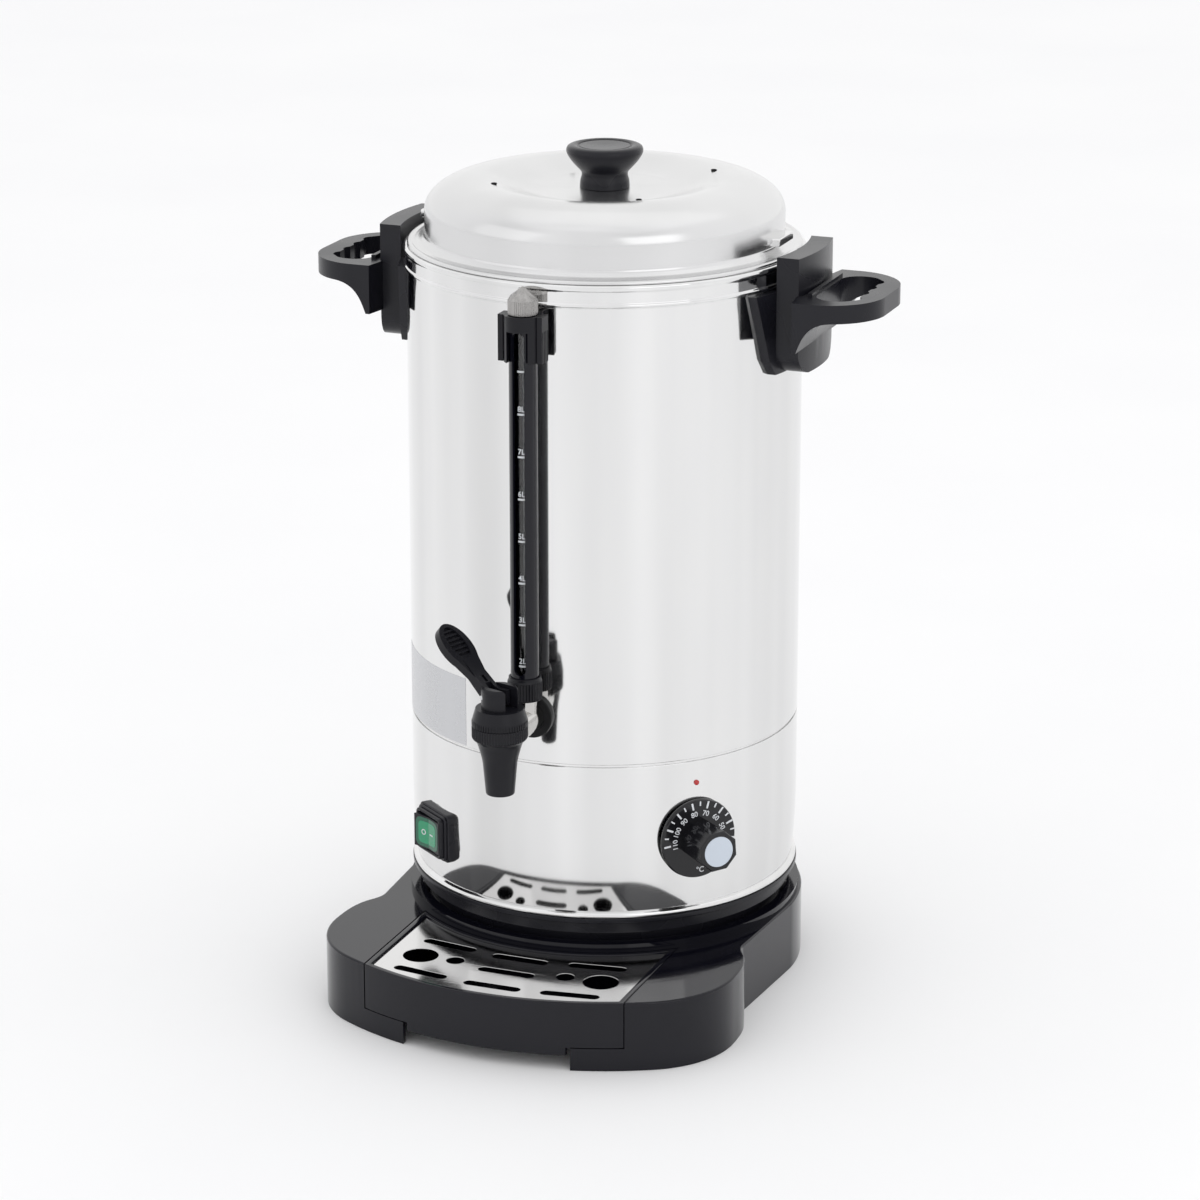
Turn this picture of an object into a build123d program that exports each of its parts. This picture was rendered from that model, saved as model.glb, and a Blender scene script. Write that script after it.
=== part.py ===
# Hot water dispenser on a stand with a drip tray.
# Millimetres, +Z up. The origin lies on the floor, on the axis of the round body, and the tap faces -Y.
from math import asin, cos, degrees, radians, sin, sqrt
import os

from build123d import *

os.makedirs("parts", exist_ok=True)

# Driving sizes of the body
body_radius = 113.0
sheet = 0.8
fit_gap = 0.1
easy_gap = 0.3
slide_gap = 0.5
overrun = 30.0

# Driving heights above the floor
stand_height = 40.5
foot_rise = 19.0
skirt_bottom = stand_height + foot_rise
housing_rise = 90.9
seam_height = skirt_bottom + housing_rise
tank_rise = 273.6
mouth_height = seam_height + tank_rise

# Places round the body, in degrees from the tap, positive towards +X
dial_turn_place = 48.5
switch_turn_place = -37.5
lever_turn_place = -108.0
inner_radius = body_radius - sheet


def finish(builder, name):
    """Label one piece and write it to its own file."""
    builder.part.label = name
    export_step(builder.part, f"parts/{name}.step")


def turned(outline, x=0.0, y=0.0):
    """A piece turned about an upright axis through x and y, from its radius and height outline."""
    with BuildPart() as piece:
        with BuildSketch(Plane(origin=(x, y, 0), x_dir=(1, 0, 0), z_dir=(0, -1, 0))):
            with BuildLine():
                Polyline(*outline, close=True)
            make_face()
        revolve(axis=Axis((x, y, 0), (0, 0, 1)))
    return piece


def wall_plane(turn, reach, height):
    """A plane square to the body's radius, with its normal outward and its y upward."""
    out = Vector(sin(radians(turn)), -cos(radians(turn)), 0)
    side = (cos(radians(turn)), sin(radians(turn)), 0)
    return Plane(origin=(out.X * reach, out.Y * reach, height), x_dir=side, z_dir=out)


# Stand
stand_wall = 3.0
back_overhang = 4.0
back_radius = body_radius + back_overhang
front_reach = 73.5
front_radius = back_radius + front_reach
lobe_corner = 57.0
notch_inset = 4.8
notch_half_width = back_radius - notch_inset
lobe_flare = 10.5
lobe_half_width = notch_half_width + lobe_flare
notch_y = -70.0
notch_rise_x = 5.2
notch_rise_length = 14.0
notch_rise_y = notch_y - notch_rise_length
ring_inset = 4.5
ring_inner = body_radius - ring_inset
ring_width = 6.5
ring_outer = ring_inner + ring_width
ring_rise = 4.0
ring_top = stand_height + ring_rise
tray_half_width = 78.4
tray_standoff = 4.0
tray_back_radius = body_radius + tray_standoff
bay_floor_top = 13.2
bay_floor_thickness = 2.4
recess_half_width = 50.5
tray_panel_low = 13.5
stand_edge_round = 1.2
screw_inset = 23.5
screw_circle = ring_inner - screw_inset
screw_count = 4
screw_start = 45.0
screw_radius = 2.0
screw_head_radius = 4.0
screw_head_height = 2.6
quarter_turn = 90.0

lobe_x = lobe_half_width - lobe_corner
lobe_y = -sqrt((front_radius - lobe_corner) ** 2 - lobe_x**2)
front_share = front_radius / (front_radius - lobe_corner)
lobe_end = (lobe_x * front_share, lobe_y * front_share)


def stand_outline(inset):
    """The stand's plan outline, drawn inward by inset: round back, waisted sides and a lobed front."""
    lobe_mid = (degrees(asin(lobe_end[0] / front_radius)) + quarter_turn) / 2
    corner = lobe_corner - inset
    reach = (front_radius - inset) / front_radius
    front_end = (lobe_end[0] * reach, lobe_end[1] * reach)
    for side in (1, -1):
        notch = (side * (notch_half_width - inset), notch_y)
        rise = (side * (notch_half_width + notch_rise_x - inset), notch_rise_y)
        lobe = (side * (lobe_half_width - inset), lobe_y)
        Line((side * (back_radius - inset), 0), notch)
        Spline(notch, rise, lobe, tangents=((0, -1), (0, -1)))
        bulge = (
            side * (lobe_x + corner * sin(radians(lobe_mid))),
            lobe_y - corner * cos(radians(lobe_mid)),
        )
        ThreePointArc(lobe, bulge, (side * front_end[0], front_end[1]))
    ThreePointArc(front_end, (0, inset - front_radius), (-front_end[0], front_end[1]))
    ThreePointArc((back_radius - inset, 0), (0, back_radius - inset), (inset - back_radius, 0))


with BuildPart() as stand:
    with BuildSketch():
        with BuildLine():
            stand_outline(0)
        make_face()
    extrude(amount=stand_height)
    fillet(stand.faces().sort_by(Axis.Z)[-1].outer_wire().edges(), stand_edge_round)
    with BuildSketch():
        with BuildLine():
            stand_outline(stand_wall)
        make_face()
    extrude(amount=stand_height - stand_wall, mode=Mode.SUBTRACT)
    with BuildSketch(Plane.XY.offset(stand_height)):
        Circle(ring_outer)
        Circle(ring_inner, mode=Mode.SUBTRACT)
    extrude(amount=ring_top - stand_height)
    with BuildSketch(Plane.XY.offset(bay_floor_top)):
        with Locations((0, -front_radius)):
            Rectangle(2 * (tray_half_width + slide_gap), 2 * front_radius)
        Circle(tray_back_radius, mode=Mode.SUBTRACT)
    extrude(amount=overrun + stand_height, mode=Mode.SUBTRACT)
    with BuildSketch(Plane.XY.offset(bay_floor_top - bay_floor_thickness)):
        with Locations((0, -front_radius)):
            Rectangle(2 * (tray_half_width + slide_gap + stand_wall), 2 * front_radius)
        Circle(tray_back_radius - stand_wall, mode=Mode.SUBTRACT)
        Circle(front_radius - stand_wall - easy_gap, mode=Mode.INTERSECT)
    extrude(amount=bay_floor_thickness)
    with BuildSketch(Plane.XY.offset(bay_floor_top)):
        for side in (1, -1):
            with Locations((side * (tray_half_width + slide_gap + stand_wall / 2), -front_radius)):
                Rectangle(stand_wall, 2 * front_radius)
        Circle(tray_back_radius - stand_wall, mode=Mode.SUBTRACT)
        Circle(front_radius - stand_wall / 2, mode=Mode.INTERSECT)
    extrude(amount=stand_height - bay_floor_top - stand_wall / 2)
    with BuildSketch(Plane.XY.offset(bay_floor_top)):
        Circle(tray_back_radius)
        Circle(tray_back_radius - stand_wall, mode=Mode.SUBTRACT)
        with Locations((0, -front_radius)):
            Rectangle(2 * (tray_half_width + slide_gap + stand_wall), 2 * front_radius, mode=Mode.INTERSECT)
    extrude(amount=stand_height - bay_floor_top)
    with BuildSketch():
        with Locations((0, -front_radius)):
            Rectangle(2 * recess_half_width, 2 * (front_radius - tray_back_radius))
    extrude(amount=bay_floor_top - bay_floor_thickness, mode=Mode.SUBTRACT)
    with BuildSketch(Plane.XY.offset(tray_panel_low - overrun)):
        with Locations((0, -front_radius)):
            Rectangle(2 * recess_half_width, 2 * front_radius)
        Circle(front_radius - stand_wall - easy_gap, mode=Mode.SUBTRACT)
    extrude(amount=overrun, mode=Mode.SUBTRACT)
    with PolarLocations(radius=screw_circle, count=screw_count, start_angle=screw_start):
        Hole(screw_radius + fit_gap)
finish(stand, "stand")

# Drip tray and grille
panel_middle_gap = 2.5
panel_middle_half_width = recess_half_width - panel_middle_gap
panel_middle_low = 8.5
tray_floor = 2.0
tray_lift = 0.3
grille_drop = 1.2
grille_top = stand_height - grille_drop
grille_sheet = 1.2
grille_front_inset = 3.8
grille_front_radius = front_radius - grille_front_inset
grille_back_inset = 3.4
grille_back_radius = tray_back_radius + grille_back_inset
grille_side_inset = 3.8
grille_half_width = tray_half_width - grille_side_inset
ledge_width = 1.6
slot_length = 34.0
slot_width = 6.6
side_slot_inset = 29.4
side_slot_x = grille_half_width - side_slot_inset
side_slot_turn = 8.0
side_slot_shares = (-0.672, -0.894)
centre_slot_shares = (-0.698, -0.804, -0.915)
drain_hole_radius = 10.15
drain_hole_inset = 19.7
drain_hole_x = grille_half_width - drain_hole_inset
small_hole_radius = 5.25
small_hole_pitch = 21.4
small_hole_x = drain_hole_x - small_hole_pitch
hole_row_share = -0.775

tray_bottom = bay_floor_top + tray_lift
with BuildPart() as drip_tray:
    with BuildSketch(Plane.XY.offset(tray_bottom)):
        Circle(front_radius)
        Circle(tray_back_radius + slide_gap, mode=Mode.SUBTRACT)
        with Locations((0, -front_radius)):
            Rectangle(2 * tray_half_width, 2 * front_radius, mode=Mode.INTERSECT)
    extrude(amount=stand_height - tray_bottom)
    with BuildSketch(Plane.XY.offset(tray_bottom + tray_floor)):
        Circle(grille_front_radius - ledge_width)
        Circle(grille_back_radius + ledge_width, mode=Mode.SUBTRACT)
        with Locations((0, -front_radius)):
            Rectangle(2 * (grille_half_width - ledge_width), 2 * front_radius, mode=Mode.INTERSECT)
    extrude(amount=stand_height, mode=Mode.SUBTRACT)
    with BuildSketch(Plane.XY.offset(grille_top - grille_sheet)):
        Circle(grille_front_radius + easy_gap)
        Circle(grille_back_radius - easy_gap, mode=Mode.SUBTRACT)
        with Locations((0, -front_radius)):
            Rectangle(2 * (grille_half_width + easy_gap), 2 * front_radius, mode=Mode.INTERSECT)
    extrude(amount=stand_height, mode=Mode.SUBTRACT)
    with BuildSketch(Plane.XY.offset(panel_middle_low)):
        Circle(front_radius)
        Circle(front_radius - stand_wall, mode=Mode.SUBTRACT)
        with Locations((0, -front_radius)):
            Rectangle(2 * panel_middle_half_width, 2 * front_radius, mode=Mode.INTERSECT)
    extrude(amount=tray_bottom - panel_middle_low)
finish(drip_tray, "drip_tray")

with BuildPart() as grille:
    with BuildSketch(Plane.XY.offset(grille_top - grille_sheet)):
        Circle(grille_front_radius)
        Circle(grille_back_radius, mode=Mode.SUBTRACT)
        with Locations((0, -front_radius)):
            Rectangle(2 * grille_half_width, 2 * front_radius, mode=Mode.INTERSECT)
        for share in centre_slot_shares:
            with Locations((0, front_radius * share)):
                SlotOverall(slot_length, slot_width, mode=Mode.SUBTRACT)
        for side in (1, -1):
            for share in side_slot_shares:
                with Locations((side * side_slot_x, front_radius * share)):
                    SlotOverall(slot_length, slot_width, rotation=side * side_slot_turn, mode=Mode.SUBTRACT)
            with Locations((side * drain_hole_x, front_radius * hole_row_share)):
                Circle(drain_hole_radius, mode=Mode.SUBTRACT)
            with Locations((side * small_hole_x, front_radius * hole_row_share)):
                Circle(small_hole_radius, mode=Mode.SUBTRACT)
    extrude(amount=grille_sheet)
finish(grille, "grille")

# Foot of the boiler
foot_overhang = 1.5
foot_radius = ring_inner + foot_overhang
spigot_rise = 8.5
foot_bottom = stand_height + spigot_rise
flange_overhang = 1.0
flange_radius = body_radius + flange_overhang
flange_thickness = 3.0
flange_bottom = skirt_bottom - flange_thickness
spigot_inset = 4.5
spigot_radius = ring_inner - spigot_inset
foot_wall = 3.0
skirt_lap = 8.0

with BuildPart() as base_plate:
    with BuildSketch(Plane.XZ):
        with BuildLine():
            Polyline(
                (0, stand_height),
                (spigot_radius, stand_height),
                (spigot_radius, foot_bottom),
                (foot_radius, foot_bottom),
                (foot_radius, flange_bottom),
                (flange_radius, flange_bottom),
                (flange_radius, skirt_bottom),
                (inner_radius - fit_gap, skirt_bottom),
                (inner_radius - fit_gap, skirt_bottom + skirt_lap),
                (inner_radius - fit_gap - foot_wall, skirt_bottom + skirt_lap),
                (inner_radius - fit_gap - foot_wall, foot_bottom + foot_wall),
                (spigot_radius - foot_wall, foot_bottom + foot_wall),
                (spigot_radius - foot_wall, stand_height + foot_wall),
                (0, stand_height + foot_wall),
                close=True,
            )
        make_face()
    revolve(axis=Axis.Z)
    with BuildSketch(Plane.XY.offset(stand_height)):
        with PolarLocations(radius=screw_circle, count=screw_count, start_angle=screw_start):
            Circle(screw_head_radius)
    extrude(amount=foot_bottom - stand_height)
    with PolarLocations(radius=screw_circle, count=screw_count, start_angle=screw_start):
        Hole(screw_radius)
finish(base_plate, "base_plate")

screw_grip = foot_bottom - stand_height - screw_head_height / 2
with BuildPart() as stand_screws:
    with PolarLocations(radius=screw_circle, count=screw_count, start_angle=screw_start):
        with Locations((0, 0, stand_height - stand_wall - screw_head_height)):
            Cylinder(screw_head_radius, screw_head_height, align=(Align.CENTER, Align.CENTER, Align.MIN))
        with Locations((0, 0, stand_height - stand_wall)):
            Cylinder(screw_radius, stand_wall + screw_grip, align=(Align.CENTER, Align.CENTER, Align.MIN))
finish(stand_screws, "stand_screws")

# Skirt round the heater housing
bead_overhang = 1.6
bead_radius = body_radius + bead_overhang
bead_height = 4.0
dial_drop = 45.9
dial_height = seam_height - dial_drop
switch_drop = 58.4
switch_height = seam_height - switch_drop
lens_drop = 13.0
lens_height = seam_height - lens_drop
lens_turn_place = 48.5
lens_radius = 1.6
lens_collar = 2.6
bushing_radius = 5.0
switch_body_width = 26.0
switch_body_height = 21.0
gland_turn_place = 180.0
gland_rise = 18.5
gland_height = skirt_bottom + gland_rise
gland_radius = 6.5
cord_radius = 3.6
lap_sheet = 0.7
joint_lap = 9.0
seam_gap = 1.5

with BuildPart() as skirt:
    with BuildSketch(Plane.XZ):
        with BuildLine():
            Polyline(
                (inner_radius, skirt_bottom),
                (bead_radius - sheet, skirt_bottom),
                (bead_radius, skirt_bottom + sheet),
                (bead_radius, skirt_bottom + bead_height - sheet),
                (bead_radius - sheet, skirt_bottom + bead_height),
                (body_radius, skirt_bottom + bead_height),
                (body_radius, seam_height),
                (inner_radius, seam_height),
                close=True,
            )
        make_face()
    revolve(axis=Axis.Z)
    with BuildSketch(wall_plane(dial_turn_place, inner_radius, dial_height)):
        Circle(bushing_radius + fit_gap)
    extrude(amount=overrun, both=True, mode=Mode.SUBTRACT)
    with BuildSketch(wall_plane(lens_turn_place, inner_radius, lens_height)):
        Circle(lens_radius)
    extrude(amount=overrun, both=True, mode=Mode.SUBTRACT)
    with BuildSketch(wall_plane(switch_turn_place, inner_radius, switch_height)):
        Rectangle(switch_body_width + easy_gap, switch_body_height + easy_gap)
    extrude(amount=overrun, both=True, mode=Mode.SUBTRACT)
    with BuildSketch(wall_plane(gland_turn_place, inner_radius, gland_height)):
        Circle(gland_radius)
    extrude(amount=overrun, both=True, mode=Mode.SUBTRACT)
finish(skirt, "skirt")

# Water tank with its floor and the flange that laps into the skirt
floor_rise = 7.6
floor_height = seam_height + floor_rise
floor_sheet = 1.2
outlet_rise = 21.5
outlet_height = floor_height + outlet_rise
tee_radius = 8.4
bracket_screw_drop = 26.0
bracket_screw_height = mouth_height - bracket_screw_drop
bracket_screw_radius = 1.9
handle_screw_drops = (42.0, 22.0)
handle_screw_heights = [mouth_height - drop for drop in handle_screw_drops]
handle_screw_radius = 2.2

tank_bottom = seam_height + seam_gap
with BuildPart() as tank:
    with BuildSketch(Plane.XZ):
        with BuildLine():
            Polyline(
                (0, floor_height),
                (inner_radius - lap_sheet - fit_gap, floor_height),
                (inner_radius - lap_sheet - fit_gap, seam_height - joint_lap),
                (inner_radius - fit_gap, seam_height - joint_lap),
                (inner_radius - fit_gap, tank_bottom),
                (body_radius, tank_bottom),
                (body_radius, mouth_height),
                (inner_radius, mouth_height),
                (inner_radius, floor_height + floor_sheet),
                (0, floor_height + floor_sheet),
                close=True,
            )
        make_face()
    revolve(axis=Axis.Z)
    with BuildSketch(wall_plane(0, inner_radius, outlet_height)):
        Circle(tee_radius)
    extrude(amount=overrun, both=True, mode=Mode.SUBTRACT)
    with BuildSketch(wall_plane(0, inner_radius, bracket_screw_height)):
        Circle(bracket_screw_radius)
    extrude(amount=overrun, both=True, mode=Mode.SUBTRACT)
    for turn in (90, -90):
        for height in handle_screw_heights:
            with BuildSketch(wall_plane(turn, inner_radius, height)):
                Circle(handle_screw_radius)
            extrude(amount=overrun, both=True, mode=Mode.SUBTRACT)
finish(tank, "tank")

# Beaded collar round the mouth
collar_drop = 8.8
collar_bottom = mouth_height - collar_drop
collar_skin = 0.7
lower_bead = 1.4
rim_bead = 1.45
rim_rise = 4.2
rim_top = mouth_height + rim_rise
rim_inset = 1.0
rim_inner = inner_radius - rim_inset
collar_inner = body_radius + fit_gap / 2
with BuildPart() as rim_collar:
    with BuildSketch(Plane.XZ):
        with BuildLine():
            Polyline(
                (collar_inner, collar_bottom),
                (collar_inner + collar_skin, collar_bottom),
                (collar_inner + lower_bead, collar_bottom + lower_bead / 2),
                (collar_inner + lower_bead, collar_bottom + lower_bead * 1.5),
                (collar_inner + collar_skin, collar_bottom + lower_bead * 2),
                (collar_inner + collar_skin, rim_top - rim_bead * 1.5),
                (collar_inner + rim_bead, rim_top - rim_bead),
                (collar_inner + rim_bead, rim_top - rim_bead / 2),
                (collar_inner + rim_bead / 2, rim_top),
                (rim_inner + collar_skin, rim_top),
                (rim_inner, rim_top - collar_skin),
                (rim_inner, mouth_height - rim_bead),
                (inner_radius - fit_gap / 2, mouth_height - rim_bead),
                (inner_radius - fit_gap / 2, mouth_height),
                (collar_inner, mouth_height),
                close=True,
            )
        make_face()
    revolve(axis=Axis.Z)
finish(rim_collar, "rim_collar")

# Lid: a domed ring with a shallow well, a beaded edge and a locating skirt
lid_edge_inset = 0.4
lid_edge_radius = body_radius - lid_edge_inset
lid_sheet = 0.9
lid_rest = rim_top
lid_bead = 1.8
dome_inset = 10.1
dome_radius = lid_edge_radius - dome_inset
dome_foot_rise = 5.0
dome_foot = rim_top + dome_foot_rise
dome_side_rise = 18.8
dome_side = rim_top + dome_side_rise
dome_crown_rise = 18.6
dome_top = dome_side + dome_crown_rise
dome_crown_inset = 30.5
dome_crown_radius = dome_radius - dome_crown_inset
well_rim_inset = 14.0
well_rim_radius = dome_crown_radius - well_rim_inset
well_slope_width = 18.0
well_radius = well_rim_radius - well_slope_width
well_depth = 6.0
well_height = dome_top - well_depth
lid_skirt_inset = 1.8
lid_skirt_radius = rim_inner - lid_skirt_inset
lid_skirt_depth = 7.0
vent_circle = (well_rim_radius + dome_crown_radius) / 2
vent_radius = 1.5
vent_count = 4
vent_start = 38.0
ear_turn_spread = 6.5
ear_length = 7.0
ear_reach = dome_radius + ear_length
ear_height = 4.6
knob_hole_radius = 2.6


def lid_line(inset):
    """The lid's section from its edge to the well's middle, drawn inward by inset."""
    shoulder = dome_crown_radius + (dome_radius - dome_crown_radius - inset) * sin(radians(45))
    shoulder_height = dome_side + (dome_top - dome_side - inset) * sin(radians(45))
    Spline(
        (dome_radius - inset, dome_side),
        (shoulder, shoulder_height),
        (dome_crown_radius, dome_top - inset),
        tangents=((0, 1), (-1, 0)),
    )
    Spline(
        (dome_crown_radius, dome_top - inset),
        (well_rim_radius, (dome_top + well_height) / 2 + lid_bead / 2 - inset),
        (well_radius, well_height - inset),
        tangents=((-1, 0), (-1, 0)),
    )
    Line((well_radius, well_height - inset), (0, well_height - inset))


with BuildPart() as lid:
    with BuildSketch(Plane.XZ):
        with BuildLine():
            lid_line(0)
            lid_line(lid_sheet)
            Line((0, well_height), (0, well_height - lid_sheet))
            Polyline(
                (dome_radius, dome_side),
                (dome_radius, dome_foot),
                (lid_edge_radius - lid_bead, lid_rest + lid_bead),
                (lid_edge_radius, lid_rest + lid_bead / 2),
                (lid_edge_radius, lid_rest),
                (lid_skirt_radius, lid_rest),
                (lid_skirt_radius, lid_rest - lid_skirt_depth),
                (lid_skirt_radius - lid_sheet, lid_rest - lid_skirt_depth),
                (lid_skirt_radius - lid_sheet, lid_rest + lid_sheet),
                (dome_radius - lid_sheet, dome_foot - lid_sheet),
                (dome_radius - lid_sheet, dome_side),
            )
        make_face()
    revolve(axis=Axis.Z)
    with BuildSketch(Plane.XY.offset(well_height - lid_sheet * 2)):
        with PolarLocations(radius=vent_circle, count=vent_count, start_angle=vent_start):
            Circle(vent_radius)
        Circle(knob_hole_radius)
    extrude(amount=overrun, mode=Mode.SUBTRACT)
    for turn in (90, -90):
        with BuildSketch(wall_plane(turn, dome_radius - lid_sheet / 2, dome_foot + ear_height)):
            Rectangle(2 * dome_radius * sin(radians(ear_turn_spread)), ear_height)
        extrude(amount=ear_reach - dome_radius)
finish(lid, "lid")

# Knob on the lid and its screw
knob_rise = 24.4
knob_top = well_height + knob_rise
knob_top_radius = 22.0
knob_edge = 3.2
knob_neck_radius = 13.2
knob_neck_rise = 8.9
knob_neck_height = well_height + knob_neck_rise
knob_foot_radius = 14.2
knob_dish = 1.2
knob_ring_radius = 15.0
knob_ring = 0.9
knob_screw_radius = 2.5
knob_screw_depth = 9.0
knob_screw_head = 5.0
with BuildPart() as lid_knob:
    with BuildSketch(Plane.XZ):
        with BuildLine():
            Polyline(
                (knob_screw_radius, well_height),
                (knob_foot_radius, well_height),
                (knob_neck_radius, knob_neck_height),
            )
            ThreePointArc(
                (knob_neck_radius, knob_neck_height),
                ((knob_neck_radius + knob_top_radius) / 2 - knob_dish, (knob_neck_height + knob_top) / 2),
                (knob_top_radius, knob_top - knob_edge),
            )
            Polyline(
                (knob_top_radius, knob_top - knob_edge),
                (knob_top_radius, knob_top - knob_edge / 2),
                (knob_top_radius - knob_edge / 2, knob_top),
                (knob_ring_radius + knob_ring, knob_top - knob_dish / 2),
                (knob_ring_radius, knob_top - knob_dish),
                (knob_ring_radius - knob_ring, knob_top - knob_dish / 2),
                (0, knob_top - knob_dish / 2),
                (0, well_height + knob_screw_depth),
                (knob_screw_radius, well_height + knob_screw_depth),
                (knob_screw_radius, well_height),
            )
        make_face()
    revolve(axis=Axis.Z)
finish(lid_knob, "lid_knob")

knob_screw = turned(
    (
        (0, well_height - lid_sheet - screw_head_height),
        (knob_screw_head, well_height - lid_sheet - screw_head_height),
        (knob_screw_head, well_height - lid_sheet),
        (knob_screw_radius, well_height - lid_sheet),
        (knob_screw_radius, well_height + knob_screw_depth),
        (0, well_height + knob_screw_depth),
    )
)
finish(knob_screw, "knob_screw")

# Carrying handles
block_standoff = 4.5
block_inner = body_radius + block_standoff
block_thickness = 12.5
block_outer = block_inner + block_thickness
block_half_width = 30.0
block_rise = 10.0
block_top = mouth_height + block_rise
block_drop = 57.0
block_bottom = mouth_height - block_drop
block_corner = 14.0
wing_top_drop = 9.6
wing_top = mouth_height - wing_top_drop
wing_half_width = 47.0
wing_low_drop = 48.0
wing_low = mouth_height - wing_low_drop
wing_low_half_width = 36.0
loop_drop = 11.5
loop_top = mouth_height - loop_drop
loop_thickness = 10.5
loop_length = 41.0
loop_reach = block_outer + loop_length
loop_corner_start = 8.0
loop_corner = loop_length - loop_corner_start
loop_half_width = 44.5
loop_root_drop = 40.0
loop_root_height = mouth_height - loop_root_drop
loop_root_length = 20.0
loop_root_reach = block_outer + loop_root_length
loop_hole_start = 4.5
loop_hole_inner = block_outer + loop_hole_start
loop_rim = 13.0
loop_hole_outer = loop_reach - loop_rim
loop_hole_half_width = 32.0
loop_hole_flat = 1.5
loop_hole_corner = (loop_hole_outer - loop_hole_inner - loop_hole_flat) / 2
grip_radius = 6.0
grip_count = 4
grip_depth = 1.8
ridge_width = 2.6
ridge_height = 2.2
ridge_half_length = 27.0

with BuildPart() as handle_right:
    with BuildSketch(Plane.XY.offset(block_bottom)):
        Circle(block_outer)
        Circle(block_inner, mode=Mode.SUBTRACT)
        with Locations((block_outer, 0)):
            Rectangle(block_outer, 2 * block_half_width, mode=Mode.INTERSECT)
    extrude(amount=block_top - block_bottom)
    straight_edges = handle_right.edges().filter_by(GeomType.LINE)
    block_edges = straight_edges.filter_by(lambda edge: abs(edge.tangent_at(0).Z) < 0.5)
    fillet(block_edges.group_by(Axis.Z)[0], block_corner)
    with BuildSketch(Plane.XY.offset(block_bottom)):
        Circle(block_inner + fit_gap)
        Circle(body_radius + fit_gap, mode=Mode.SUBTRACT)
        with Locations((block_outer, 0)):
            Rectangle(block_outer, 2 * wing_half_width, mode=Mode.INTERSECT)
    extrude(amount=wing_top - block_bottom)
    for side in (1, -1):
        with BuildSketch(Plane.YZ):
            with BuildLine():
                Spline(
                    (side * wing_half_width, wing_top),
                    (side * (wing_half_width + wing_low_half_width) / 2, (wing_top + wing_low) / 2),
                    (side * wing_low_half_width, wing_low),
                )
                Line((side * wing_low_half_width, wing_low), (side * block_half_width, block_bottom))
                Polyline(
                    (side * block_half_width, block_bottom),
                    (side * block_half_width, block_bottom - overrun),
                    (side * (wing_half_width + overrun), block_bottom - overrun),
                    (side * (wing_half_width + overrun), wing_top),
                    (side * wing_half_width, wing_top),
                )
            make_face()
        extrude(amount=block_inner + fit_gap, mode=Mode.SUBTRACT)
    with BuildSketch(Plane.XZ):
        with BuildLine():
            Line((block_inner + fit_gap, loop_top), (loop_reach, loop_top))
            Line((loop_reach, loop_top), (loop_reach, loop_top - loop_thickness))
            Line((loop_reach, loop_top - loop_thickness), (loop_root_reach, loop_top - loop_thickness))
            Spline(
                (loop_root_reach, loop_top - loop_thickness),
                (block_outer - fit_gap, loop_root_height),
                tangents=((-1, 0), (-0.35, -1)),
            )
            Line((block_outer - fit_gap, loop_root_height), (block_inner + fit_gap, loop_root_height))
            Line((block_inner + fit_gap, loop_root_height), (block_inner + fit_gap, loop_top))
        make_face()
    loop_body = extrude(amount=loop_half_width, both=True, mode=Mode.PRIVATE)
    with BuildSketch(Plane.XY.offset(loop_root_height)):
        with BuildLine():
            FilletPolyline(
                (block_outer - ridge_width, -loop_half_width),
                (loop_reach, -loop_half_width),
                (loop_reach, loop_half_width),
                (block_outer - ridge_width, loop_half_width),
                radius=loop_corner,
            )
            Line((block_outer - ridge_width, loop_half_width), (block_inner + ridge_width, 0))
            Line((block_inner + ridge_width, 0), (block_outer - ridge_width, -loop_half_width))
        make_face()
    loop_block = extrude(amount=loop_top - loop_root_height, mode=Mode.PRIVATE)
    add(loop_body & loop_block)
    with BuildSketch(Plane.XY.offset(loop_top)):
        with Locations(((loop_hole_inner + loop_hole_outer) / 2, 0)):
            RectangleRounded(
                loop_hole_outer - loop_hole_inner, 2 * loop_hole_half_width, loop_hole_corner
            )
        grip_span = 2 * (loop_hole_half_width - loop_hole_corner) / (grip_count - 1)
        with Locations((loop_hole_outer - grip_radius + grip_depth, 0)):
            with GridLocations(0, grip_span, 1, grip_count):
                Circle(grip_radius)
    extrude(amount=-overrun, mode=Mode.SUBTRACT)
    with BuildSketch(Plane.XY.offset(loop_top)):
        with Locations(((block_outer + loop_hole_inner) / 2, 0)):
            Rectangle(ridge_width, 2 * ridge_half_length)
    extrude(amount=ridge_height)
    for height in handle_screw_heights:
        with BuildSketch(Plane.YZ.offset(body_radius)):
            with Locations((0, height)):
                Circle(handle_screw_radius - fit_gap)
        extrude(amount=block_outer - body_radius - ridge_width, mode=Mode.SUBTRACT)
finish(handle_right, "handle_right")

with BuildPart() as handle_left:
    add(handle_right.part, rotation=(0, 0, 180))
finish(handle_left, "handle_left")

handle_head_radius = 3.6
head_back = sqrt(inner_radius**2 - handle_head_radius**2) - fit_gap / 2
handle_screw_tip = block_outer - ridge_width * 1.5
with BuildPart() as handle_screws:
    for turn in (90, -90):
        for height in handle_screw_heights:
            with BuildSketch(wall_plane(turn, head_back - screw_head_height, height)):
                Circle(handle_head_radius)
            extrude(amount=screw_head_height)
            with BuildSketch(wall_plane(turn, head_back, height)):
                Circle(handle_screw_radius - fit_gap)
            extrude(amount=handle_screw_tip - head_back)
finish(handle_screws, "handle_screws")

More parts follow.
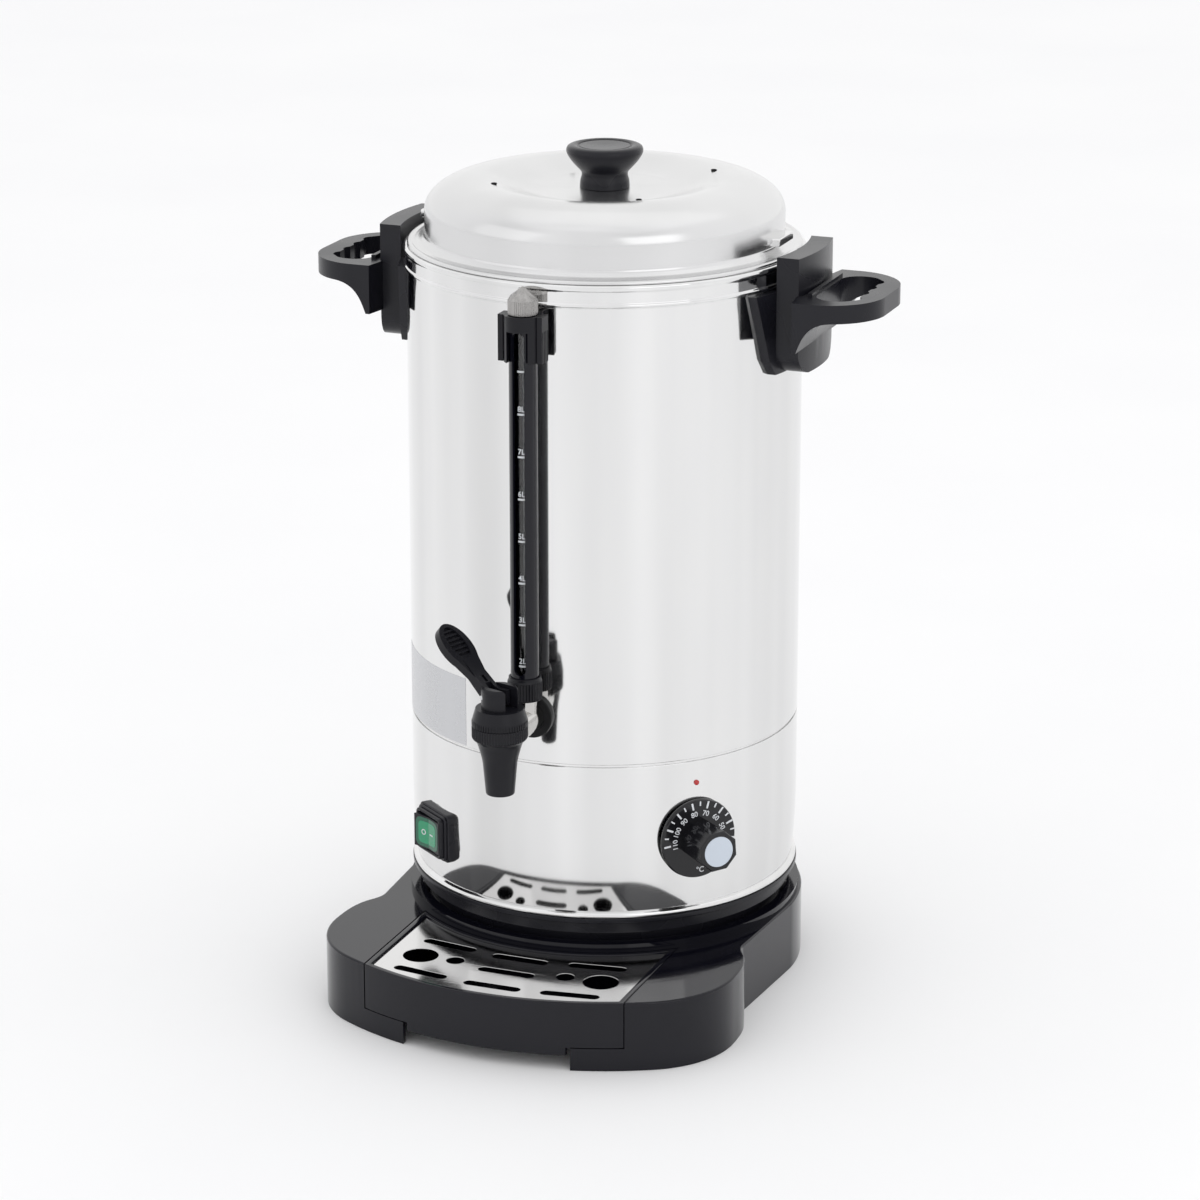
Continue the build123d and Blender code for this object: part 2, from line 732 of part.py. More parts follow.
# Water gauge: metal tee, sealed glass tube, slotted shroud, upper bracket and plug
gauge_standoff = 10.2
gauge_reach = body_radius + gauge_standoff
tap_standoff = 36.8
tap_reach = gauge_reach + tap_standoff
tee_neck_radius = 7.0
tee_neck_rise = 19.5
tee_neck_top = outlet_height + tee_neck_rise
tee_bore = 5.2
tee_inner_length = 15.0
tee_inner_reach = body_radius - tee_inner_length
tee_end_inset = 11.0
tee_end_reach = tap_reach - tee_end_inset
tube_radius = 4.6
tube_wall = 1.1
tube_seat = 4.0
tube_drop = 13.0
tube_top = mouth_height - tube_drop
nut_clearance = 0.4
nut_rise = 7.0
nut_top = tee_neck_top + nut_rise
nut_radius = 9.8
nut_rib_count = 36
nut_rib_depth = 0.5
nut_rib_width = 0.8
shoulder_rise = 2.2
shoulder_low = tee_neck_top + shoulder_rise
shoulder_thickness = 1.8
shoulder_high = shoulder_low + shoulder_thickness
shroud_radius = 7.9
shroud_wall = 1.5
shroud_slot_width = 7.0
slot_foot = 5.0
shroud_slot_low = shoulder_high + slot_foot
shroud_drop = 2.0
shroud_top = tube_top - shroud_drop
slot_head = 5.0
shroud_slot_high = shroud_top - slot_head
strip_half_width = 2.6
strip_thickness = 0.6
collar_thread = 0.1

tee_disc_radius = 12.8
tube_foot = tee_neck_top - tube_seat
nut_bottom = outlet_height + tee_disc_radius + nut_clearance
with BuildPart() as outlet_tee:
    with BuildSketch(Plane.XZ.offset(tee_inner_reach)):
        with Locations((0, outlet_height)):
            Circle(tee_radius - fit_gap)
    extrude(amount=tee_end_reach - tee_inner_reach)
    with BuildSketch(Plane(origin=(0, -gauge_reach, outlet_height))):
        Circle(tee_neck_radius)
    extrude(amount=tee_neck_top - outlet_height)
    with BuildSketch(Plane.XZ.offset(tee_inner_reach - overrun)):
        with Locations((0, outlet_height)):
            Circle(tee_bore)
    extrude(amount=2 * overrun + tee_end_reach - tee_inner_reach, mode=Mode.SUBTRACT)
    with BuildSketch(Plane(origin=(0, -gauge_reach, outlet_height))):
        Circle(tube_radius - tube_wall)
    extrude(amount=overrun, mode=Mode.SUBTRACT)
    with BuildSketch(Plane(origin=(0, -gauge_reach, tube_foot))):
        Circle(tube_radius + fit_gap)
    extrude(amount=overrun, mode=Mode.SUBTRACT)
finish(outlet_tee, "outlet_tee")

# Disc, washer and lock nut that clamp the tee in the tank wall
tee_disc_thickness = 2.8
tee_disc_reach = body_radius + tee_disc_thickness
tee_disc_round = 0.8
washer_radius = 12.5
washer_inset = 4.0
washer_reach = body_radius - washer_inset
lock_nut_thickness = 4.5
lock_nut_width = 24.0
with BuildPart() as tee_flange:
    with BuildSketch(Plane.XZ.offset(body_radius - tee_disc_round * 2)):
        with Locations((0, outlet_height)):
            Circle(tee_disc_radius)
            Circle(tee_radius, mode=Mode.SUBTRACT)
    extrude(amount=tee_disc_reach - body_radius + tee_disc_round * 2)
    fillet(tee_flange.faces().sort_by(Axis.Y)[0].outer_wire().edges(), tee_disc_round)
    with BuildSketch():
        Circle(body_radius + fit_gap / 2)
    extrude(amount=mouth_height, mode=Mode.SUBTRACT)
finish(tee_flange, "tee_flange")

with BuildPart() as tee_washer:
    with BuildSketch(Plane.XZ.offset(washer_reach)):
        with Locations((0, outlet_height)):
            Circle(washer_radius)
            Circle(tee_radius, mode=Mode.SUBTRACT)
    extrude(amount=body_radius - washer_reach)
    with BuildSketch():
        Circle(inner_radius - fit_gap / 2)
    extrude(amount=mouth_height, mode=Mode.INTERSECT)
finish(tee_washer, "tee_washer")

with BuildPart() as tee_lock_nut:
    with BuildSketch(Plane.XZ.offset(washer_reach - lock_nut_thickness)):
        with Locations((0, outlet_height)):
            RegularPolygon(lock_nut_width / 2, 6, major_radius=False)
            Circle(tee_radius, mode=Mode.SUBTRACT)
    extrude(amount=lock_nut_thickness)
finish(tee_lock_nut, "tee_lock_nut")

gauge_axis_plane = Plane(origin=(0, -gauge_reach, 0))
gauge_seal = turned(
    (
        (tube_radius + fit_gap / 2, tee_neck_top),
        (tee_neck_radius - fit_gap, tee_neck_top),
        (tee_neck_radius - fit_gap, shoulder_low),
        (tube_radius + fit_gap / 2, shoulder_low),
    ),
    y=-gauge_reach,
)
finish(gauge_seal, "gauge_seal")

with BuildPart() as gauge_nut:
    with BuildSketch(gauge_axis_plane.offset(nut_bottom)):
        Circle(nut_radius)
        with PolarLocations(radius=nut_radius, count=nut_rib_count):
            Rectangle(2 * nut_rib_depth, nut_rib_width, mode=Mode.SUBTRACT)
    extrude(amount=nut_top - nut_bottom)
    with BuildSketch(gauge_axis_plane.offset(nut_bottom)):
        Circle(tee_neck_radius + collar_thread)
    extrude(amount=shoulder_low - nut_bottom, mode=Mode.SUBTRACT)
    with BuildSketch(gauge_axis_plane.offset(nut_bottom)):
        Circle(tube_radius + easy_gap)
    extrude(amount=nut_top, mode=Mode.SUBTRACT)
    with BuildSketch(gauge_axis_plane.offset(shoulder_high)):
        Circle(shroud_radius + fit_gap)
    extrude(amount=nut_top, mode=Mode.SUBTRACT)
finish(gauge_nut, "gauge_nut")

gauge_glass = turned(
    (
        (tube_radius - tube_wall, tube_foot),
        (tube_radius, tube_foot),
        (tube_radius, tube_top),
        (tube_radius - tube_wall, tube_top),
    ),
    y=-gauge_reach,
)
finish(gauge_glass, "gauge_glass")

with BuildPart() as gauge_shroud:
    with BuildSketch(gauge_axis_plane.offset(shoulder_high)):
        Circle(shroud_radius)
        Circle(shroud_radius - shroud_wall, mode=Mode.SUBTRACT)
    extrude(amount=shroud_top - shoulder_high)
    with BuildSketch(Plane.XZ.offset(gauge_reach)):
        with Locations((0, (shroud_slot_low + shroud_slot_high) / 2)):
            SlotOverall(shroud_slot_high - shroud_slot_low, shroud_slot_width, rotation=90)
    extrude(amount=2 * shroud_radius, mode=Mode.SUBTRACT)
finish(gauge_shroud, "gauge_shroud")

strip_y = -gauge_reach + tube_radius + fit_gap
with BuildPart() as scale_strip:
    with BuildSketch(Plane.XZ.offset(-strip_y - strip_thickness)):
        with Locations((0, (shoulder_high + shroud_top) / 2)):
            Rectangle(2 * strip_half_width, shroud_top - shoulder_high)
    extrude(amount=strip_thickness)
finish(scale_strip, "scale_strip")

# Upper gauge bracket with its window and ribbed cheeks
bracket_rise = 2.0
bracket_top = tube_top + bracket_rise
bracket_height = 26.0
bracket_bottom = bracket_top - bracket_height
bracket_radius = 10.6
bracket_band = 8.5
bracket_window_half_width = 6.2
bracket_foot_half_width = 8.0
cheek_reach = 13.0
cheek_thickness = 3.0
cheek_depth = 9.0
cheek_rib_count = 4
cheek_rib_width = 0.9
plug_radius = 3.2
plug_depth = 9.0
cap_base = bracket_top
cap_radius = 8.3
cap_knurl_height = 9.0
cap_knurl_count = 30
cap_knurl_depth = 0.45
cap_cone_height = 6.6
cap_cone_tip = 1.6
cap_lip = 0.8
cap_lip_radius = 7.4

with BuildPart() as gauge_bracket:
    with BuildSketch(gauge_axis_plane.offset(bracket_bottom)):
        Circle(bracket_radius)
        with Locations((0, bracket_radius / 2 + cheek_thickness / 2)):
            Rectangle(2 * bracket_foot_half_width, bracket_radius + cheek_thickness)
        with GridLocations(2 * cheek_reach - cheek_thickness, 0, 2, 1):
            Rectangle(cheek_thickness, cheek_depth)
        Rectangle(2 * cheek_reach - cheek_thickness, cheek_thickness)
    extrude(amount=bracket_top - bracket_bottom)
    with BuildSketch(gauge_axis_plane.offset(bracket_bottom)):
        with GridLocations(2 * cheek_reach, cheek_depth / cheek_rib_count, 2, cheek_rib_count):
            Rectangle(2 * nut_rib_depth, cheek_rib_width)
    extrude(amount=bracket_top - bracket_bottom - bracket_band, mode=Mode.SUBTRACT)
    with BuildSketch(Plane.XY.offset(bracket_bottom)):
        Circle(body_radius + fit_gap / 2)
    extrude(amount=collar_bottom - bracket_bottom, mode=Mode.SUBTRACT)
    with BuildSketch(gauge_axis_plane.offset(bracket_bottom)):
        Circle(shroud_radius + fit_gap / 2)
    extrude(amount=shroud_top - bracket_bottom, mode=Mode.SUBTRACT)
    with BuildSketch(gauge_axis_plane.offset(bracket_bottom)):
        Circle(tube_radius + fit_gap)
    extrude(amount=bracket_top, mode=Mode.SUBTRACT)
    with BuildSketch(gauge_axis_plane.offset(bracket_bottom)):
        with Locations((0, -bracket_radius)):
            Rectangle(2 * bracket_window_half_width, 2 * bracket_radius)
    extrude(amount=bracket_top - bracket_bottom - bracket_band, mode=Mode.SUBTRACT)
    with BuildSketch(Plane.XZ.offset(body_radius)):
        with Locations((0, bracket_screw_height)):
            Circle(bracket_screw_radius - fit_gap)
    extrude(amount=gauge_reach - shroud_radius - body_radius, mode=Mode.SUBTRACT)
finish(gauge_bracket, "gauge_bracket")

cap_outline = (
    (0, cap_base - plug_depth),
    (plug_radius, cap_base - plug_depth),
    (plug_radius, cap_base),
    (cap_radius, cap_base),
    (cap_radius, cap_base + cap_knurl_height),
    (cap_lip_radius, cap_base + cap_knurl_height + cap_lip),
    (cap_cone_tip, cap_base + cap_knurl_height + cap_cone_height),
    (0, cap_base + cap_knurl_height + cap_cone_height),
)
with BuildPart() as gauge_cap:
    add(turned(cap_outline, y=-gauge_reach).part)
    with BuildSketch(gauge_axis_plane.offset(cap_base)):
        with PolarLocations(radius=cap_radius, count=cap_knurl_count):
            Rectangle(2 * cap_knurl_depth, nut_rib_width)
    extrude(amount=cap_knurl_height, mode=Mode.SUBTRACT)
finish(gauge_cap, "gauge_cap")

bracket_head_back = sqrt(inner_radius**2 - handle_head_radius**2) - fit_gap / 2
with BuildPart() as bracket_screw:
    with BuildSketch(wall_plane(0, bracket_head_back - screw_head_height, bracket_screw_height)):
        Circle(handle_head_radius)
    extrude(amount=screw_head_height)
    with BuildSketch(wall_plane(0, bracket_head_back, bracket_screw_height)):
        Circle(bracket_screw_radius - fit_gap)
    extrude(amount=gauge_reach - shroud_radius - bracket_head_back - fit_gap)
finish(bracket_screw, "bracket_screw")

# Tap body with its spout and the valve seat
spout_drop = 30.5
spout_bottom = outlet_height - spout_drop
spout_radius = 8.0
spout_bore = 5.0
spout_length = 19.7
spout_waist = spout_bottom + spout_length
spout_waist_radius = 9.75
cup_rise = 0.1
cup_bottom = outlet_height + cup_rise
cup_bottom_radius = 12.75
cup_radius = 15.6
cup_flare = 2.6
cup_depth = 9.4
cup_top = cup_bottom + cup_depth
seat_drop = 6.6
seat_height = outlet_height - seat_drop
chamber_radius = 9.2
tap_neck_radius = 11.1
tap_neck_length = 5.0
tap_neck_top = cup_top + tap_neck_length
tap_rib_count = 60
tap_rib_depth = 0.4
tap_rib_width = 0.7
tap_axis_plane = Plane(origin=(0, -tap_reach, 0))
with BuildPart() as tap_body:
    add(
        turned(
            (
                (spout_bore, spout_bottom),
                (spout_radius, spout_bottom),
                (spout_waist_radius, spout_waist),
                (cup_bottom_radius, cup_bottom),
                (cup_radius, cup_bottom + cup_flare),
                (cup_radius, cup_top),
                (tap_neck_radius, cup_top),
                (tap_neck_radius, tap_neck_top),
                (chamber_radius, tap_neck_top),
                (chamber_radius, seat_height),
                (spout_bore, seat_height),
            ),
            y=-tap_reach,
        ).part
    )
    with BuildSketch(tap_axis_plane.offset(cup_bottom + cup_flare)):
        with PolarLocations(radius=cup_radius, count=tap_rib_count):
            Rectangle(2 * tap_rib_depth, tap_rib_width)
    extrude(amount=cup_top - cup_bottom - cup_flare, mode=Mode.SUBTRACT)
    with BuildSketch(Plane.XZ.offset(gauge_reach)):
        with Locations((0, outlet_height)):
            Circle(tee_radius)
    extrude(amount=tee_end_reach - gauge_reach, mode=Mode.SUBTRACT)
    with BuildSketch(Plane.XZ.offset(gauge_reach)):
        with Locations((0, outlet_height)):
            Circle(tee_bore)
    extrude(amount=tap_reach - gauge_reach, mode=Mode.SUBTRACT)
finish(tap_body, "tap_body")

# Bonnet with its ribbed ring and the two ears that carry the lever
bonnet_gap = 0.2
bonnet_straight = 2.4
bonnet_top_radius = 13.4
bonnet_room = 2.0
bonnet_roof_low = tap_neck_top + bonnet_room
bonnet_roof = 3.0
bonnet_roof_top = bonnet_roof_low + bonnet_roof
tower_radius = 10.2
tower_length = 12.0
tower_top = bonnet_roof_top + tower_length
tower_round = 2.0
ear_gap_half_width = 5.3
pivot_reach = 6.0
pivot_rise = 6.5
pivot_height = bonnet_roof_top + pivot_rise
pin_radius = 1.25
stem_radius = 2.0
bonnet_bottom = cup_top + bonnet_gap
lever_out = Vector(sin(radians(lever_turn_place)), -cos(radians(lever_turn_place)), 0)
lever_side = Vector(lever_out.Y, -lever_out.X, 0)
lever_plane = Plane(origin=(0, -tap_reach, 0), x_dir=lever_out, z_dir=lever_side)

with BuildPart() as tap_bonnet:
    add(
        turned(
            (
                (tap_neck_radius + fit_gap, bonnet_bottom),
                (cup_radius, bonnet_bottom),
                (cup_radius, bonnet_bottom + bonnet_straight),
                (bonnet_top_radius, bonnet_roof_top),
                (tower_radius, bonnet_roof_top),
                (tower_radius, tower_top),
                (0, tower_top),
                (0, bonnet_roof_low),
                (tap_neck_radius + fit_gap, bonnet_roof_low),
            ),
            y=-tap_reach,
        ).part
    )
    fillet(tap_bonnet.faces().sort_by(Axis.Z)[-1].edges(), tower_round)
    with BuildSketch(tap_axis_plane.offset(bonnet_bottom)):
        with PolarLocations(radius=cup_radius, count=tap_rib_count):
            Rectangle(2 * tap_rib_depth, tap_rib_width)
    extrude(amount=bonnet_roof_top - bonnet_bottom, mode=Mode.SUBTRACT)
    with BuildSketch(lever_plane):
        with Locations((0, bonnet_roof_top + tower_top / 2)):
            Rectangle(4 * tower_radius, tower_top)
    extrude(amount=ear_gap_half_width, both=True, mode=Mode.SUBTRACT)
    with BuildSketch(lever_plane):
        with Locations((pivot_reach, pivot_height)):
            Circle(pin_radius + fit_gap / 2)
    extrude(amount=overrun, both=True, mode=Mode.SUBTRACT)
    with BuildSketch(tap_axis_plane.offset(bonnet_roof_low)):
        Circle(stem_radius + fit_gap)
    extrude(amount=overrun, mode=Mode.SUBTRACT)
finish(tap_bonnet, "tap_bonnet")

pin_half_length = sqrt((tower_radius - fit_gap) ** 2 - pivot_reach**2)
with BuildPart() as lever_pin:
    with BuildSketch(lever_plane):
        with Locations((pivot_reach, pivot_height)):
            Circle(pin_radius)
    extrude(amount=pin_half_length, both=True)
finish(lever_pin, "lever_pin")

# Lever with its ribbed thumb rest
press_angle = 30.0
lever_rise = 41.0
neck_half_width = 4.8
neck_length = 27.0
neck_root_half = 3.6
neck_tip_half = 2.3
hub_radius = 4.2
heel_reach = 9.4
heel_depth = 5.0
fork_half_width = 2.2
fork_ahead = 2.4
bar_radius = 1.4
bar_play = 0.5
bar_half_length = 4.5
pad_centre = 33.0
pad_half_length = 15.0
pad_half_width = 10.0
pad_thickness = 4.8
pad_root_half_width = 8.4
web_length = 21.6
rest_half_length = 11.2
rest_half_width = 6.0
rest_depth = 1.8
rest_shift = 1.6
rib_count = 7
rib_pitch = 2.9
rib_width = 1.2
rib_height = 1.2
vent_slot_length = 4.6
vent_slot_width = 1.9
vent_slot_place = 9.0
vent_slot_depth = 2.0

rise_cos = cos(radians(lever_rise))
rise_sin = sin(radians(lever_rise))
link_drop = pivot_reach * sin(radians(press_angle / 2)) / cos(radians(press_angle / 2))
link_height = pivot_height - link_drop
along = lever_out * rise_cos + Vector(0, 0, rise_sin)
across = lever_out * -rise_sin + Vector(0, 0, rise_cos)
pivot_point = Vector(0, -tap_reach, 0) + lever_out * pivot_reach + Vector(0, 0, pivot_height)
pad_plane = Plane(origin=pivot_point + along * pad_centre, x_dir=along, z_dir=across)
neck_plane = Plane(origin=pivot_point, x_dir=along, z_dir=across)

with BuildPart() as tap_lever:
    with BuildSketch(Plane(origin=pivot_point, x_dir=along, z_dir=lever_side)):
        with BuildLine():
            Polyline(
                (0, -neck_root_half),
                (neck_length, -neck_tip_half),
                (neck_length, neck_tip_half),
                (0, neck_root_half),
                close=True,
            )
        make_face()
    extrude(amount=neck_half_width, both=True)
    with BuildSketch(lever_plane):
        with Locations((pivot_reach, pivot_height)):
            Circle(hub_radius)
        with Locations((pivot_reach - heel_reach / 2, pivot_height - heel_depth + hub_radius)):
            Rectangle(heel_reach, 2 * hub_radius)
    extrude(amount=neck_half_width, both=True)
    with BuildSketch(pad_plane.offset(-pad_thickness / 2)):
        Ellipse(pad_half_length, pad_half_width)
    extrude(amount=pad_thickness)
    with BuildSketch(pad_plane.offset(-neck_tip_half)):
        with BuildLine():
            Polyline(
                (-pad_half_length / 2, -pad_root_half_width),
                (-web_length, -neck_half_width),
                (-web_length, neck_half_width),
                (-pad_half_length / 2, pad_root_half_width),
                close=True,
            )
        make_face()
    extrude(amount=2 * neck_tip_half)
    with BuildSketch(pad_plane.offset(pad_thickness / 2)):
        with Locations((rest_shift, 0)):
            Ellipse(rest_half_length, rest_half_width)
    extrude(amount=-rest_depth, mode=Mode.SUBTRACT)
    with BuildSketch(pad_plane.offset(pad_thickness / 2 - rest_depth)):
        with Locations((rest_shift, 0)):
            with GridLocations(rib_pitch, 0, rib_count, 1):
                Rectangle(rib_width, 2 * rest_half_width)
            Ellipse(rest_half_length, rest_half_width, mode=Mode.INTERSECT)
    extrude(amount=rib_height)
    with BuildSketch(neck_plane.offset(neck_root_half)):
        with Locations((vent_slot_place, 0)):
            Rectangle(vent_slot_length, vent_slot_width)
    extrude(amount=-vent_slot_depth, mode=Mode.SUBTRACT)
    with BuildSketch(lever_plane):
        with Locations((pivot_reach + fork_ahead - heel_reach, pivot_height)):
            Rectangle(2 * heel_reach, 4 * hub_radius)
    extrude(amount=fork_half_width, both=True, mode=Mode.SUBTRACT)
    with BuildSketch(lever_plane):
        with Locations((pivot_reach, pivot_height)):
            Circle(pin_radius + fit_gap / 2)
        with Locations((0, link_height)):
            Circle(bar_radius + bar_play)
    extrude(amount=overrun, both=True, mode=Mode.SUBTRACT)
finish(tap_lever, "tap_lever")

# Stem, silicone seat cup and return spring
cup_height = 11.0
cup_foot_radius = 7.8
cup_head_radius = 4.6
cup_hollow_radius = 5.6
cup_hollow_height = 5.2
stem_flat_drop = 4.5
stem_flat = pivot_height - stem_flat_drop
stem_rise = 0.9
stem_top = pivot_height + stem_rise
stem_half_thickness = 1.7
spring_radius = 4.4
spring_wire = 0.45
spring_turns = 5
spring_gap = 0.6
with BuildPart() as tap_stem:
    with BuildSketch(tap_axis_plane.offset(seat_height + cup_hollow_height)):
        Circle(stem_radius)
    extrude(amount=stem_flat - seat_height - cup_hollow_height)
    with BuildSketch(lever_plane):
        with Locations((0, (stem_flat + stem_top) / 2)):
            Rectangle(2 * stem_radius, stem_top - stem_flat)
    extrude(amount=stem_half_thickness, both=True)
    with BuildSketch(lever_plane):
        with Locations((0, link_height)):
            Circle(bar_radius)
    extrude(amount=bar_half_length, both=True)
finish(tap_stem, "tap_stem")

seat_cup = turned(
    (
        (cup_hollow_radius, seat_height),
        (cup_foot_radius, seat_height),
        (cup_head_radius, seat_height + cup_height),
        (stem_radius, seat_height + cup_height),
        (stem_radius, seat_height + cup_hollow_height),
    ),
    y=-tap_reach,
)
finish(seat_cup, "seat_cup")

spring_foot = seat_height + cup_height + spring_gap
spring_height = bonnet_roof_low - spring_gap - spring_foot
with BuildPart() as tap_spring:
    with BuildLine():
        spring_path = Helix(
            spring_height / spring_turns, spring_height, spring_radius, center=(0, -tap_reach, spring_foot)
        )
    with BuildSketch(Plane(origin=spring_path @ 0, z_dir=spring_path % 0)):
        Circle(spring_wire)
    sweep()
finish(tap_spring, "tap_spring")

# Thermostat: body with its bushing, nut, turning shaft, dial and pale cap, and the sensing bulb
dial_radius = 23.5
dial_standoff = 0.4
dial_back = body_radius + dial_standoff
dial_skirt = 3.8
dial_hollow_radius = 9.0
dial_hollow_depth = 2.6
grip_length = 22.6
grip_root = 20.0
grip_tip = 22.4
grip_sides = 8
cap_disc_radius = 9.0
cap_disc_depth = 1.2
cap_disc_proud = 0.5
shaft_radius = 3.0
shaft_flat = 0.7
shaft_depth = 12.0
control_size = 34.0
control_depth = 20.0
control_gap = 1.2
control_nut_radius = 7.6
control_nut_thickness = 1.8
lens_proud = 1.2
lens_length = 8.0
grip_twist = 4.0
dial_face = dial_back + dial_skirt
grip_end = dial_face + grip_length
control_front = body_radius * cos(asin(control_size / 2 / inner_radius)) - sheet - control_gap


def dial_at(reach):
    """The plane square to the dial's shaft at this reach from the body's axis."""
    return wall_plane(dial_turn_place, reach, dial_height)


with BuildPart() as thermostat_body:
    with BuildSketch(dial_at(control_front - control_depth)):
        RectangleRounded(control_size, control_size, control_size / 8)
    extrude(amount=control_depth)
    with BuildSketch(dial_at(control_front)):
        Circle(bushing_radius)
    extrude(amount=body_radius + control_nut_thickness - control_front)
    with BuildSketch(dial_at(control_front - shaft_depth + control_depth / 2)):
        Circle(shaft_radius + fit_gap)
    extrude(amount=overrun, mode=Mode.SUBTRACT)
finish(thermostat_body, "thermostat_body")

with BuildPart() as thermostat_nut:
    with BuildSketch(dial_at(body_radius + fit_gap / 2)):
        RegularPolygon(control_nut_radius, 6)
        Circle(bushing_radius, mode=Mode.SUBTRACT)
    extrude(amount=control_nut_thickness)
finish(thermostat_nut, "thermostat_nut")

shaft_start = control_front - shaft_depth + control_depth / 2 + fit_gap
with BuildPart() as thermostat_shaft:
    with BuildSketch(dial_at(shaft_start)):
        Circle(shaft_radius)
    extrude(amount=grip_end - shaft_depth / 2 - shaft_start)
    with BuildSketch(dial_at(dial_face)):
        with Locations((0, 2 * shaft_radius - shaft_flat)):
            Rectangle(2 * shaft_radius, 2 * shaft_radius)
    extrude(amount=grip_length, mode=Mode.SUBTRACT)
finish(thermostat_shaft, "thermostat_shaft")

with BuildPart() as dial:
    with BuildSketch(dial_at(dial_back)):
        Circle(dial_radius)
    extrude(amount=dial_skirt)
    fillet(dial.edges().filter_by(GeomType.CIRCLE).sort_by(SortBy.DISTANCE)[-1:], fit_gap)
    with BuildSketch(dial_at(dial_face)):
        RegularPolygon(grip_root / 2, grip_sides, major_radius=False, rotation=grip_twist)
    with BuildSketch(dial_at(grip_end)):
        RegularPolygon(grip_tip / 2, grip_sides, major_radius=False, rotation=grip_twist)
    loft()
    with BuildSketch(dial_at(dial_back)):
        Circle(dial_hollow_radius)
    extrude(amount=dial_hollow_depth, mode=Mode.SUBTRACT)
    with BuildSketch(dial_at(dial_back)):
        Circle(shaft_radius)
        with Locations((0, 2 * shaft_radius - shaft_flat)):
            Rectangle(2 * shaft_radius, 2 * shaft_radius, mode=Mode.SUBTRACT)
    extrude(amount=grip_end - shaft_depth / 2 - dial_back, mode=Mode.SUBTRACT)
    with BuildSketch(dial_at(dial_back)):
        Circle(shaft_radius)
    extrude(amount=dial_skirt, mode=Mode.SUBTRACT)
    with BuildSketch(dial_at(grip_end)):
        Circle(cap_disc_radius)
    extrude(amount=-cap_disc_depth, mode=Mode.SUBTRACT)
finish(dial, "dial")

with BuildPart() as dial_cap:
    with BuildSketch(dial_at(grip_end - cap_disc_depth)):
        Circle(cap_disc_radius)
    extrude(amount=cap_disc_depth + cap_disc_proud)
    fillet(dial_cap.edges().filter_by(GeomType.CIRCLE), fit_gap)
finish(dial_cap, "dial_cap")

lens_plane = wall_plane(lens_turn_place, body_radius - lens_length, lens_height)
with BuildPart() as pilot_lens:
    with BuildSketch(lens_plane):
        Circle(lens_radius)
    extrude(amount=lens_length + lens_proud)
    with BuildSketch(lens_plane):
        Circle(lens_collar)
    extrude(amount=lens_length - sheet - fit_gap)
    fillet(pilot_lens.faces().sort_by(Axis(lens_plane.origin, lens_plane.z_dir))[-1].edges(), lens_proud / 2)
finish(pilot_lens, "pilot_lens")

# Sensing bulb in its clip under the tank floor
bulb_radius = 3.0
bulb_length = 60.0
bulb_x = 0.0
bulb_y = 22.0
with BuildPart() as sensing_bulb:
    with BuildSketch(Plane.YZ.offset(bulb_x - bulb_length / 2)):
        with Locations((bulb_y, floor_height - bulb_radius)):
            Circle(bulb_radius)
    extrude(amount=bulb_length)
finish(sensing_bulb, "sensing_bulb")

# Rocker switch: frame with a soft boot edge, body behind the wall, terminals and the lit rocker
frame_width = 33.5
frame_height = 29.0
frame_inset = 4.4
frame_back = body_radius - frame_inset
frame_proud = 4.2
frame_front = body_radius + frame_proud
frame_round = 3.0
boot_width = 29.0
boot_height = 24.6
boot_proud = 2.4
boot_front = frame_front + boot_proud
rocker_width = 24.0
rocker_height = 19.6
rocker_gap = 0.6
rocker_pivot_depth = 1.7
rocker_pivot = frame_front - rocker_pivot_depth
rocker_nose = 5.6
rocker_tail = 3.4
rocker_dip = 1.75
rocker_half_tilt = 7.0
rocker_pin_radius = 1.2
rocker_pin_length = 2.0
switch_depth = 24.0
terminal_length = 8.0
terminal_width = 6.3
terminal_thickness = 0.8
terminal_pitch_x = 12.0
terminal_pitch_y = 10.0


def switch_at(reach):
    """The plane square to the switch at this reach from the body's axis."""
    return wall_plane(switch_turn_place, reach, switch_height)


rocker_tilted = wall_plane(switch_turn_place + rocker_half_tilt, rocker_pivot, switch_height)
rocker_section = Plane(
    origin=switch_at(rocker_pivot).origin, x_dir=rocker_tilted.x_dir, z_dir=rocker_tilted.y_dir * -1
)
well_floor = rocker_pivot - rocker_tail - rocker_width / 2 * sin(radians(rocker_half_tilt)) - rocker_gap
with BuildPart() as switch_frame:
    with BuildSketch(switch_at(frame_back)):
        RectangleRounded(frame_width, frame_height, frame_round)
    extrude(amount=frame_front - frame_back)
    with BuildSketch(switch_at(frame_front)):
        RectangleRounded(boot_width, boot_height, frame_round)
    extrude(amount=boot_front - frame_front)
    with BuildSketch():
        Circle(body_radius + fit_gap / 2)
    extrude(amount=seam_height, mode=Mode.SUBTRACT)
    with BuildSketch(switch_at(frame_back)):
        Rectangle(rocker_width + 2 * rocker_gap, rocker_height + 2 * rocker_gap)
    extrude(amount=overrun, mode=Mode.SUBTRACT)
    with BuildSketch(rocker_section):
        Circle(rocker_pin_radius + fit_gap)
    extrude(amount=rocker_height / 2 + rocker_pin_length + fit_gap, both=True, mode=Mode.SUBTRACT)
finish(switch_frame, "switch_frame")

with BuildPart() as switch_body:
    with BuildSketch(switch_at(well_floor - switch_depth)):
        Rectangle(switch_body_width, switch_body_height)
    extrude(amount=switch_depth)
finish(switch_body, "switch_body")

with BuildPart() as switch_terminals:
    with BuildSketch(switch_at(well_floor - switch_depth - terminal_length)):
        with GridLocations(terminal_pitch_x, terminal_pitch_y, 2, 2):
            Rectangle(terminal_thickness, terminal_width)
    extrude(amount=terminal_length)
finish(switch_terminals, "switch_terminals")

